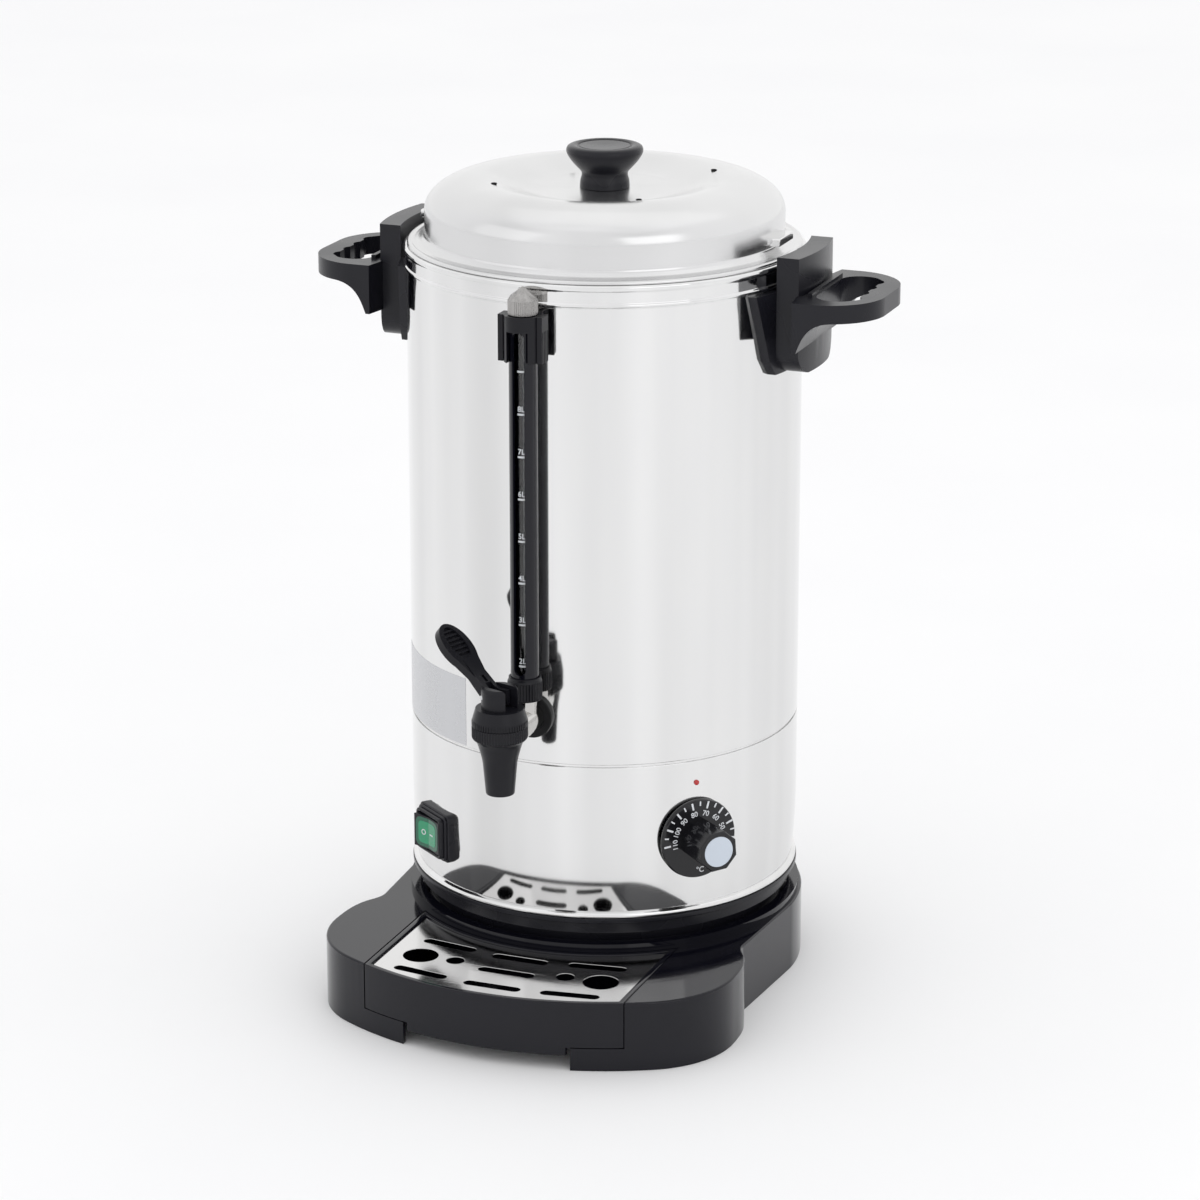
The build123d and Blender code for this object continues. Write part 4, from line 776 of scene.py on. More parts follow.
@dataclass
class Vessel:
    """The tank, the skirt under it, the beaded collar, the foot and the foil patch.

    A section's row is a corner's radius, its height and, where it has its own, its rounding's reach.
    """

    radius: float = 113.0
    sheet: float = 0.8
    clearance: float = 0.2
    segments: int = 256
    mouth: float = 424.0
    floor: float = 158.0
    floor_sheet: float = 1.2
    tank_bottom: float = 151.9
    seam: float = 150.4
    lap: float = 9.0
    lap_gap: float = 0.1
    skirt_bottom: float = 59.5
    bead: float = 113.2
    bead_height: float = 2.4
    bead_slope: float = 1.2
    bead_roll: float = 1.2
    tuck: float = 2.1
    tuck_height: float = 45.0
    tuck_steps: int = 16
    collar_gap: float = 0.05
    # From the collar's inner face and the mouth.
    collar_section: Corners = (
        (0, -8.8, 0.2), (0.75, -8.8, 0.3), (0.75, -8.1, 0.3), (1.4, -7.7, 0.5), (1.4, -6.4, 0.5),
        (0.7, -5.8, 0.4), (0.7, 0.6, 0.6), (1.45, 1.4, 0.6), (1.45, 3.4, 0.6), (0.6, 4.2, 0.6),
        (-1.45, 4.2, 0.4), (-1.85, 3.4, 0.3), (-1.85, -1.4, 0.3), (-0.9, -1.4, 0.2), (-0.9, 0, 0), (0, 0, 0),
    )
    foot_outside: Corners = (
        (0, 40.5, 0), (104, 40.5), (104, 49), (110, 49, 1.0), (110, 56.5, 1.0), (113.6, 56.5, 0.8),
        (113.6, 59.5, 0.6),
    )
    foot_inside: Corners = ((101, 52), (101, 43.5), (0, 43.5, 0))
    foot_shelf: float = 52.0
    upstand: float = 8.0
    upstand_sheet: float = 2.5
    patch_turns: tuple[float, float] = (-64.0, -23.0)
    patch_heights: tuple[float, float] = (152.6, 192.9)
    patch_lifts: tuple[float, float] = (0.02, 0.12)
    patch_steps: int = 24
    place: Matrix = field(default_factory=upright)

    def tank(self) -> None:
        """Makes the tank: outer wall with a rolled lower edge, lap flange, floor and inner wall."""
        inner = self.radius - self.sheet
        flange = inner - self.sheet
        lapped = inner - self.lap_gap
        lap_bottom = self.seam - self.lap
        floor_top = self.floor + self.floor_sheet
        outline = section(
            (
                (0, self.floor, 0), (flange, self.floor), (flange, lap_bottom), (lapped, lap_bottom),
                (lapped, self.tank_bottom, 0.2), (self.radius, self.tank_bottom, 0.5),
                (self.radius, self.mouth, 0.2), (inner, self.mouth, 0.2), (inner, floor_top, 3.0),
                (0, floor_top, 0),
            )
        )
        shell = lathe("tank_shell", outline, self.place, self.segments)
        hand_over(shell, Look.POLISHED_STEEL, Body.DISPENSER, ["tank"])
        shell.data.materials.append(finish(Look.INNER_STEEL))
        within = (inner + self.lap_gap) * MM
        for face in shell.data.polygons:
            if hypot(face.center.x, face.center.y) < within and face.center.z > self.floor * MM:
                face.material_index = 1

    def skirt(self) -> None:
        """Makes the heater housing's wall, drawn in at its foot, with the rolled bead at its bottom."""
        inner = self.radius - self.sheet
        bead_top = self.skirt_bottom + self.bead_height
        start = bead_top + self.bead_slope
        drawn = []
        for step in range(self.tuck_steps + 1):
            share = step / self.tuck_steps
            drawn.append((self.radius - self.tuck * (1 - share) ** 2, start + self.tuck_height * share, 0))
        outline = section(
            (
                (inner - self.tuck, self.skirt_bottom, 0.3), (self.bead, self.skirt_bottom, self.bead_roll),
                (self.bead, bead_top, self.bead_roll), *drawn, (self.radius, self.seam, 0.5),
                (inner, self.seam, 0.2), (inner, start + self.tuck_height, 0),
            ),
            steps=5,
        )
        shell = lathe("skirt_shell", outline, self.place, self.segments)
        hand_over(shell, Look.POLISHED_STEEL, Body.DISPENSER, ["skirt"])

    def collar(self) -> None:
        """Makes the collar with its two beads and rolled rim."""
        outline = section(self.collar_section, self.radius + self.collar_gap, self.mouth)
        band = lathe("rim_band", outline, self.place, self.segments)
        hand_over(band, Look.POLISHED_STEEL, Body.DISPENSER, ["rim_collar"])

    def foot(self) -> None:
        """Makes the black foot ring, whose upstand locates the skirt."""
        outer = self.radius - self.sheet - self.tuck - self.clearance
        inner = outer - self.upstand_sheet
        top = self.skirt_bottom + self.upstand
        upstand = ((outer, self.skirt_bottom), (outer, top), (inner, top), (inner, self.foot_shelf))
        outline = section(self.foot_outside + upstand + self.foot_inside, reach=0.4)
        ring = lathe("foot_ring", outline, self.place, self.segments)
        hand_over(ring, Look.BLACK_SATIN, Body.DISPENSER, ["base_plate"])

    def patch(self) -> None:
        """Makes the bare foil patch at the left of the tap."""
        work = bmesh.new()
        first, last = self.patch_turns
        rows = []
        for height in self.patch_heights:
            for lift in self.patch_lifts:
                row = []
                for step in range(self.patch_steps + 1):
                    turn = radians(first + (last - first) * step / self.patch_steps)
                    reach = self.radius + lift
                    row.append(work.verts.new(Vector((sin(turn) * reach, -cos(turn) * reach, height)) * MM))
                rows.append(row)
        order = [rows[0], rows[1], rows[3], rows[2]]
        for row, after in zip(order, order[1:] + order[:1]):
            strip(work, row, after)
        for end in (0, -1):
            work.faces.new([row[end] for row in order])
        hand_over(from_bmesh("foil_patch", work), Look.FOIL, Body.DISPENSER)

    def build(self) -> None:
        """Makes every piece of the body."""
        self.tank()
        self.skirt()
        self.collar()
        self.foot()
        self.patch()


@dataclass
class Lid:
    """The domed lid with its well, vents, ears and knob.

    A section's row is a corner's radius, its height and, where it has its own, its rounding's reach.
    """

    rest: float = 428.2
    dome: float = 102.5
    foot: float = 433.2
    side: float = 447.0
    top: float = 465.6
    side_bend: tuple[float, float] = (0.2, 1.3)
    crown: float = 72.0
    well: float = 40.0
    well_height: float = 459.6
    sheet: float = 0.9
    dome_steps: int = 16
    well_steps: int = 14
    # Over the rest: the locating skirt, the rolled edge and the groove inside it.
    lip: Corners = (
        (108.5, 0.9, 0.3), (108.5, -7, 0.2), (109.4, -7, 0.2), (109.4, 0, 0.2), (112.2, 0, 0.4),
        (112.6, 0.9, 0.7), (111.9, 2.1, 0.8), (110.2, 2.2, 0.6), (109.0, 1.7, 0.9), (105.6, 2.5, 1.4),
    )
    vents_count: int = 4
    vent_turn: float = 38.0
    vent_circle: float = 65.0
    vent_drop: float = 1.0
    vent_section: Corners = (
        (0, -0.1), (1.5, -0.1), (1.75, 0.72), (1.55, 0.86), (1.25, 0.6), (1.1, 0.25), (0, 0.2),
    )
    ear_half_turn: float = 6.5
    ear_rise: float = 4.6
    ear_height: float = 4.6
    ear_corner: float = 0.9
    ear_span: tuple[float, float] = (-3.0, 7.0)
    # Over the well.
    knob_section: Corners = (
        (2.5, 0, 0), (14.2, 0, 0.6), (13.9, 4.0, 0.8), (12.9, 7.2, 2.0), (13.4, 9.2, 1.2), (18.6, 14.6, 5.0),
        (21.6, 19.2, 3.0), (22.0, 21.6, 1.6), (21.0, 23.6, 1.4), (18.0, 24.4, 2.0), (15.6, 23.9, 0.6),
        (15.0, 23.2, 0.4), (14.3, 23.8, 0.5), (5.0, 23.3, 4.0), (0, 23.2, 0), (0, 9, 0), (2.5, 9, 0),
    )
    place: Matrix = field(default_factory=upright)

    def line(self, inset: float) -> Outline:
        """The lid's section from the dome's side to its middle.

        Args:
            inset: how far inside the outer face it runs.

        Returns:
            The points, from the side inward.
        """
        points: Outline = []
        for step in range(self.dome_steps + 1):
            turn = radians(90 * step / self.dome_steps)
            radius = self.crown + (self.dome - self.crown - inset) * cos(turn)
            points.append((radius, self.side + (self.top - self.side - inset) * sin(turn)))
        for step in range(1, self.well_steps + 1):
            share = step / self.well_steps
            ease = share**2 * (3 - 2 * share)
            radius = self.crown + (self.well - self.crown) * share
            points.append((radius, self.top - inset + (self.well_height - self.top) * ease))
        points.append((0, self.well_height - inset))
        return points

    def shell(self) -> None:
        """Makes the lid's turned shell with its rolled edge and locating skirt."""
        inner = self.dome - self.sheet
        lip = tuple((radius, self.rest + height, reach) for radius, height, reach in self.lip)
        inside = ((inner, self.side, 0), (inner, self.foot - self.sheet, 0.6))
        rise, bend = self.side_bend
        outside = ((self.dome, self.foot + rise, bend), (self.dome, self.side, 0))
        edge = section(inside + lip + outside, reach=0.4, steps=4)
        outline = edge[1:] + self.line(0)[1:] + list(reversed(self.line(self.sheet)))
        shell = lathe("lid_shell", outline, self.place, segments=256)
        hand_over(shell, Look.LID_STEEL, Body.LID, ["lid"])

    def vents(self) -> None:
        """Makes small black eyelet-shaped discs in the vent holes, as painted shade for their dark insides.
        """
        for index in range(self.vents_count):
            turn = radians(self.vent_turn + 360.0 / self.vents_count * index)
            x, y = self.vent_circle * cos(turn), self.vent_circle * sin(turn)
            spot = upright(x, y, self.top - self.vent_drop)
            # Painted shade: a black disc stands in for the shaded inside of each vent hole.
            shade_disc = lathe(f"vent_painted_shade_{index + 1}", self.vent_section, spot, segments=32)
            hand_over(shade_disc, Look.BLACK_RUBBER_AND_SHADE, Body.LID)

    def ears(self) -> None:
        """Makes the two ears that lock the lid under the handles."""
        width = 2 * self.dome * sin(radians(self.ear_half_turn))
        for name, turn in (("right", 90.0), ("left", -90.0)):
            place = on_wall(turn, self.dome - self.sheet / 2, self.foot + self.ear_rise)
            outline = box(width, self.ear_height, self.ear_corner)
            ear = plate(f"lid_ear_{name}", [outline], place, *self.ear_span)
            hand_over(ear, Look.POLISHED_STEEL, Body.LID)

    def knob(self) -> None:
        """Makes the mushroom knob with its dished top and the bore for its screw."""
        outline = section(self.knob_section, up=self.well_height, reach=0.5, steps=4)
        grip = lathe("knob_grip", outline, self.place, segments=128)
        hand_over(grip, Look.BLACK_SATIN, Body.LID, ["lid_knob"])

    def build(self) -> None:
        """Makes every piece of the lid."""
        self.shell()
        self.vents()
        self.ears()
        self.knob()


@dataclass
class Handle:
    """One carrying handle."""

    side: str
    round_over: float = 1.5

    def build(self) -> None:
        """Makes the handle with its rounded edges."""
        piece = softened(f"handle_{self.side}", f"handle_grip_{self.side}", self.round_over)
        hand_over(piece, Look.BLACK_SATIN, Body.DISPENSER, [f"handle_{self.side}"])


# Gauge and tap


@dataclass
class Gauge:
    """The water gauge: tee, ribbed nut, glass, slotted shroud, marks, bracket and plug.

    A section's row is a corner's radius, its height and, where it has its own, its rounding's reach.
    """

    axis: float = -123.2
    tee_height: float = 179.5
    tee_barrel: Corners = ((5.2, 98), (8.3, 98), (8.3, 149), (5.2, 149))
    tee_neck: Corners = (
        (3.5, 5.0, 0), (7.0, 5.0, 0), (7.0, 19.5), (4.7, 19.5), (4.7, 15.5, 0.1), (3.5, 15.5, 0),
    )
    nut_section: Corners = (
        (7.1, 192.7), (9.4, 192.7, 0.5), (9.8, 193.4, 0.3), (9.8, 203.4, 0.6), (9.1, 204.4, 0.5),
        (9.1, 206.0, 0.4), (8.0, 206.0, 0.2), (8.0, 203.0, 0), (4.9, 203.0, 0), (4.9, 201.2, 0),
        (7.1, 201.2, 0),
    )
    nut_ribs: Ribs = Ribs(count=36, depth=0.5, low=193.5, high=203.3, over=9.5)
    glass_section: Corners = ((3.5, 195.0), (4.6, 195.0), (4.6, 411.0), (3.5, 411.0))
    tube_low: float = 203.0
    tube_high: float = 409.0
    tube_outer: float = 7.9
    tube_inner: float = 6.4
    tube_end: float = 0.4
    tube_columns: int = 72
    slot_low: float = 208.0
    slot_high: float = 404.0
    slot_half: float = 3.5
    slot_steps: int = 8
    seam_half: float = 0.012
    seam_weld: float = 0.03
    litre: float = 24.15
    first_mark: float = 212.7
    marks: tuple[int, ...] = (2, 3, 4, 5, 6, 7, 8, 9)
    mark_half_length: float = 2.5
    mark_half_width: float = 0.55
    mark_layer: tuple[float, float, float] = (0.0, 0.05, 0.01)
    number_size: float = 4.4
    number_rise: float = 0.02
    number_spot: tuple[float, float] = (-0.2, 2.9)
    print_reach: float = 4.62
    print_turn: float = 9.0
    print_edge: float = 1.2
    print_cuts: int = 4
    plug_section: Corners = (
        (0, 404.0, 0), (3.2, 404.0), (3.2, 413.0, 0), (7.9, 413.0, 0.4), (8.3, 413.6, 0.3), (8.3, 421.2, 0.3),
        (7.5, 422.0, 0.4), (7.5, 422.9, 0.2), (0.5, 428.4, 0.2), (0, 428.6, 0),
    )
    plug_ribs: Ribs = Ribs(count=44, depth=0.35, low=413.7, high=421.1, over=8.0)
    cone_start: float = 422.5
    cone_flats: int = 8

    def place(self) -> Matrix:
        """The gauge's upright axis."""
        return upright(0, self.axis)

    def tee(self) -> None:
        """Makes the metal tee: its barrel along the tap's flow and its neck up into the nut."""
        flow = Matrix.Translation((0, 0, self.tee_height)) @ Matrix.Rotation(radians(90), 4, "X")
        barrel = lathe("tee_barrel", section(self.tee_barrel), flow, segments=96)
        neck_place = upright(0, self.axis, self.tee_height)
        neck = lathe("tee_neck", section(self.tee_neck, reach=0.4), neck_place, segments=96)
        hand_over(merged("gauge_tee", [barrel, neck]), Look.PLATED_BRASS, Body.DISPENSER, ["outlet_tee"])

    def nut(self) -> None:
        """Makes the ribbed nut under the glass."""
        outline = section(self.nut_section)
        nut = lathe("gauge_ribbed_nut", outline, self.place(), 360, self.nut_ribs.relief)
        hand_over(nut, Look.BLACK_MATTE, Body.DISPENSER, ["gauge_nut"])

    def glass(self) -> None:
        """Makes the glass tube with fire-polished ends."""
        outline = section(self.glass_section, reach=0.4)
        tube = lathe("gauge_tube", outline, self.place(), segments=64)
        hand_over(tube, Look.GAUGE_GLASS, Body.DISPENSER, ["gauge_glass"])

    def slot_gap(self, height: float) -> float:
        """Half the angle that the slot leaves open in the shroud.

        Args:
            height: where on the shroud.

        Returns:
            The angle in radians; above and below the slot that of a closed seam.
        """
        open_half = 0.0
        if self.slot_low < height < self.slot_high:
            rise = min(height - self.slot_low, self.slot_high - height, self.slot_half)
            open_half = sqrt(max(self.slot_half**2 - (self.slot_half - rise) ** 2, 0.0))
        return asin(max(open_half, self.seam_half) / self.tube_outer)

    def shroud_rows(self) -> list[float]:
        """The shroud's rows, close together along the slot's round ends.

        Returns:
            Each row's height, from below.
        """
        turns = [radians(90 * step / self.slot_steps) for step in range(self.slot_steps + 1)]
        half = self.slot_half
        return [
            self.tube_low,
            self.tube_low + self.tube_end,
            *[self.slot_low + half - half * cos(turn) for turn in turns],
            *[self.slot_high - half + half * sin(turn) for turn in turns],
            self.tube_high - self.tube_end,
            self.tube_high,
        ]

    def shroud(self) -> None:
        """Makes the black tube with its long rounded slot."""
        work = bmesh.new()
        grid: list[list[list[bmesh.types.BMVert]]] = []
        for height in self.shroud_rows():
            gap = self.slot_gap(height)
            row = []
            for reach in (self.tube_outer, self.tube_inner):
                ring = []
                for step in range(self.tube_columns + 1):
                    turn = gap + (2 * pi - 2 * gap) * step / self.tube_columns
                    spot = Vector((sin(turn) * reach, self.axis - cos(turn) * reach, height))
                    ring.append(work.verts.new(spot * MM))
                row.append(ring)
            grid.append(row)
        for below, above in zip(grid, grid[1:]):
            for one, two in zip(below, above):
                strip(work, one, two)
            for end in (0, -1):
                work.faces.new((below[0][end], below[1][end], above[1][end], above[0][end]))
        for outer, inner in (grid[0], grid[-1]):
            strip(work, outer, inner)
        bmesh.ops.remove_doubles(work, verts=work.verts, dist=self.seam_weld * MM)
        tube = from_bmesh("gauge_slotted_tube", work)
        hand_over(tube, Look.BLACK_GLOSS, Body.DISPENSER, ["gauge_shroud"])

    def scale(self) -> None:
        """Makes the marks and numbers printed on the front of the glass."""
        x, y = self.mark_half_length, self.mark_half_width
        line = rounded([(-x, -y), (x, -y), (x, y), (-x, y)], 0.1)
        for mark in self.marks:
            height = self.first_mark + self.litre * (mark - self.marks[0])
            pieces = [plate(f"mark_{mark}_line", [line], upright(), *self.mark_layer)]
            if mark < self.marks[-1]:
                spot = upright(*self.number_spot)
                name = f"mark_{mark}_number"
                pieces.append(lettering(name, f"{mark}L", self.number_size, spot, self.number_rise))
            numbered = merged(f"gauge_mark_{mark}", pieces)
            self.wrap(numbered, height)
            hand_over(numbered, Look.MARK_WHITE, Body.DISPENSER)

    def wrap(self, piece: bpy.types.Object, height: float) -> None:
        """Bends a flat print round the front of the glass.

        Args:
            piece: the print, drawn flat in its x and y.
            height: where it stands on the glass.
        """
        work = bmesh.new()
        work.from_mesh(piece.data)
        long = [edge for edge in work.edges if edge.calc_length() > self.print_edge * MM]
        bmesh.ops.subdivide_edges(work, edges=long, cuts=self.print_cuts, use_grid_fill=False)
        for corner in work.verts:
            reach = self.print_reach * MM + corner.co.z
            turn = corner.co.x / (self.print_reach * MM) + radians(self.print_turn)
            x, y = sin(turn) * reach, self.axis * MM - cos(turn) * reach
            corner.co = Vector((x, y, height * MM + corner.co.y))
        work.to_mesh(piece.data)
        work.free()

    def bracket(self) -> None:
        """Makes the upper bracket."""
        clip = softened("gauge_bracket", "gauge_clip", width=0.4, steps=2)
        hand_over(clip, Look.BLACK_MATTE, Body.DISPENSER, ["gauge_bracket"])

    def plug_relief(self, turn: float, radius: float, height: float) -> float:
        """Ribs on the plug's rim and flats on its cone.

        Args:
            turn: the point's angle in radians.
            radius: its radius on the plain section.
            height: its height.

        Returns:
            Its radius on the plug.
        """
        if height < self.cone_start:
            return self.plug_ribs.relief(turn, radius, height)
        part = 2 * pi / self.cone_flats
        return radius * cos(part / 2) / cos(turn % part - part / 2)

    def plug(self) -> None:
        """Makes the knurled plug with its cone."""
        outline = section(self.plug_section)
        plug = lathe("gauge_plug", outline, self.place(), 264, self.plug_relief)
        hand_over(plug, Look.KNURLED_METAL, Body.CAP, ["gauge_cap"], sharp=14.0)

    def build(self) -> None:
        """Makes every piece of the gauge."""
        self.tee()
        self.nut()
        self.glass()
        self.shroud()
        self.scale()
        self.bracket()
        self.plug()


@dataclass
class Tap:
    """The lever tap."""

    axis: float = -160.0
    # Each corner's radius, its height and, where it has its own, its rounding's reach.
    spout_section: Corners = (
        (5.0, 149.0), (8.0, 149.0, 0.7), (9.75, 168.7, 3.0), (12.75, 179.6, 3.0), (15.0, 181.4, 0.8),
        (15.6, 182.4, 0.5), (15.6, 188.6, 0.4), (15.2, 189.0, 0.3), (11.1, 189.0, 0.2), (11.1, 194.0, 0.3),
        (9.2, 194.0, 0.3), (9.2, 172.9, 0.6), (5.0, 172.9, 0.6),
    )
    cup_ribs: Ribs = Ribs(count=60, depth=0.4, low=182.0, high=188.8, over=15.2)

    def place(self) -> Matrix:
        """The tap's upright axis."""
        return upright(0, self.axis)

    def body(self) -> None:
        """Makes the spout, waist and ribbed cup."""
        outline = section(self.spout_section, reach=0.4, steps=5)
        spout = lathe("tap_spout", outline, self.place(), 360, self.cup_ribs.relief)
        hand_over(spout, Look.BLACK_MATTE, Body.DISPENSER, ["tap_body"])

    def bonnet(self) -> None:
        """Makes the ribbed bonnet with its cleft tower."""
        cover = softened("tap_bonnet", "tap_cover", width=0.35, steps=2, sharp=34.0)
        hand_over(cover, Look.BLACK_MATTE, Body.DISPENSER, ["tap_bonnet"])

    def lever(self) -> None:
        """Makes the lever with its oval thumb rest."""
        paddle = softened("tap_lever", "tap_paddle", width=0.7, steps=3, sharp=34.0)
        hand_over(paddle, Look.BLACK_MATTE, Body.LEVER, ["tap_lever"])

    def spring(self) -> None:
        """Makes the return spring as a copy of its solid."""
        work = bmesh.new()
        work.from_mesh(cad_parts["tap_spring"].data)
        coil = hand_over(from_bmesh("tap_coil", work), Look.ZINC_STEEL, Body.DISPENSER, ["tap_spring"])
        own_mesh(coil)

    def build(self) -> None:
        """Makes every piece of the tap."""
        self.body()
        self.bonnet()
        self.lever()
        self.spring()


# Controls


@dataclass
class Dial:
    """The thermostat dial with its printed scale and faceted grip, and the pilot lens over it."""

    turn: float = 48.5
    height: float = 104.5
    back: float = 113.4
    face: float = 117.2
    radius: float = 23.5
    bore: float = 3.05
    recess: float = 9.0
    recess_depth: float = 2.6
    cone_start: float = 11.0
    edge: float = 0.4
    rim_height: float = 1.2
    rim_draw: float = 0.5
    rim_drop: float = 0.3
    grip_sink: float = 0.4
    grip_bevel: float = 0.7
    grip_end: float = 139.8
    grip_twist: float = 4.0
    grip_half: tuple[float, float, float] = (11.0, 11.4, 10.9)
    grip_corner: float = 0.35
    cap_seat: float = 9.05
    cap_seat_depth: float = 1.25
    cap_depth: float = 1.2
    cap_section: Corners = ((0, 0, 0), (8.95, 0, 0.1), (8.95, 1.5, 0.35), (0, 1.7, 0))
    ticks: int = 17
    tick_end: float = 22.6
    long_tick: tuple[float, float] = (18.4, 0.55)
    short_tick: tuple[float, float] = (20.0, 0.4)
    tick_layer: tuple[float, float, float] = (0.0, 0.24, 0.02)
    print_sink: float = 0.22
    top_value: int = 110
    step_value: int = 5
    step_turn: float = 27.2
    start_turn: float = 184.0
    value_spot: Triple = (15.4, 0, 0.14)
    value_size: float = 4.3
    unit_spot: Triple = (0.5, -18.6, 0)
    unit_size: float = 4.6
    unit_sink: float = 0.1
    lens_height: float = 137.4
    lens_back: float = 105.0
    lens_section: Corners = (
        (0, 0, 0), (2.6, 0, 0.2), (2.6, 7.0, 0.2), (1.55, 7.0, 0.1), (1.55, 8.9, 0.5), (0, 9.2, 0),
    )

    def place(self, reach: float) -> Matrix:
        """The plane square to the dial's shaft at a reach from the body's axis."""
        return on_wall(self.turn, reach, self.height)

    def knob(self) -> None:
        """Makes the dial's disc with its slightly coned face, and the grip on it."""
        depth = self.face - self.back
        outline = section(
            (
                (self.recess, 0), (self.radius - self.edge, 0, self.edge),
                (self.radius, self.rim_height, 0.6),
                (self.radius - self.rim_draw, depth - self.rim_drop, 0.6), (self.cone_start, depth, 0.4),
                (self.bore, depth, 0), (self.bore, self.recess_depth, 0), (self.recess, self.recess_depth),
            )
        )
        disc = lathe("dial_disc_part", outline, self.place(self.back), segments=144)
        knob = merged("dial_knob", [disc, self.grip()])
        hand_over(knob, Look.DIAL_BLACK, Body.DIAL, ["dial"], sharp=15.0)

    def grip(self) -> bpy.types.Object:
        """Makes the flared eight-sided grip with narrow rounded corners and a seat for its cap.

        Returns:
            The grip, still without a finish.
        """
        work = bmesh.new()
        rows = []
        foot, flare, end = self.grip_half
        levels = (
            (self.face - self.grip_sink, foot, False),
            (self.grip_end - self.grip_bevel, flare, False),
            (self.grip_end, end, False),
            (self.grip_end, self.cap_seat, True),
            (self.grip_end - self.cap_seat_depth, self.cap_seat, True),
        )
        for reach, size, is_round in levels:
            corner = size / cos(pi / 8)
            turns = [pi / 4 * side + pi / 8 for side in range(8)]
            points = [(corner * cos(turn), corner * sin(turn)) for turn in turns]
            outline = rounded(points, self.grip_corner, 2)
            if is_round:
                outline = [(size * x / hypot(x, y), size * y / hypot(x, y)) for x, y in outline]
            turned = self.place(reach) @ Matrix.Rotation(radians(self.grip_twist), 4, "Z")
            rows.append([work.verts.new(turned @ Vector((x, y, 0)) * MM) for x, y in outline])
        for low, high in zip(rows, rows[1:]):
            strip(work, low + low[:1], high + high[:1])
        work.faces.new(rows[-1])
        work.faces.new(rows[0])
        return from_bmesh("dial_grip_part", work)

    def cap(self) -> None:
        """Makes the pale disc in the end of the grip."""
        spot = self.place(self.grip_end - self.cap_depth)
        disc = lathe("dial_pale_disc", section(self.cap_section), spot, segments=96)
        hand_over(disc, Look.PALE_CAP, Body.DIAL, ["dial_cap"])

    def scale(self) -> None:
        """Makes the printed ticks and numbers on the dial's face."""
        pieces = []
        for index in range(self.ticks):
            long = index % 2 == 0
            inner, half = self.long_tick if long else self.short_tick
            x = (self.tick_end - inner) / 2
            turn = radians(self.start_turn - self.step_turn / 2 * index)
            spoke = self.place(self.face - self.print_sink) @ Matrix.Rotation(turn, 4, "Z")
            spot = spoke @ Matrix.Translation(((inner + self.tick_end) / 2, 0, 0))
            bar = [(-x, -half), (x, -half), (x, half), (-x, half)]
            pieces.append(plate(f"tick_{index}", [bar], spot, *self.tick_layer))
            if long:
                value = self.top_value - self.step_value * index
                outward = spoke @ Matrix.Translation(self.value_spot)
                around = outward @ Matrix.Rotation(radians(-90), 4, "Z")
                pieces.append(lettering(f"value_{index}", str(value), self.value_size, around))
        unit = self.place(self.face - self.unit_sink) @ Matrix.Translation(self.unit_spot)
        pieces.append(lettering("value_unit", "°C", self.unit_size, unit))
        hand_over(merged("dial_print", pieces), Look.MARK_WHITE, Body.DIAL)

    def lens(self) -> None:
        """Makes the small red pilot lens."""
        spot = on_wall(self.turn, self.lens_back, self.lens_height)
        outline = section(self.lens_section, reach=0.2, steps=4)
        dome = lathe("pilot_dome", outline, spot, segments=48)
        hand_over(dome, Look.RED_LENS, Body.DISPENSER, ["pilot_lens"])

    def build(self) -> None:
        """Makes every piece of the dial."""
        self.knob()
        self.cap()
        self.scale()
        self.lens()


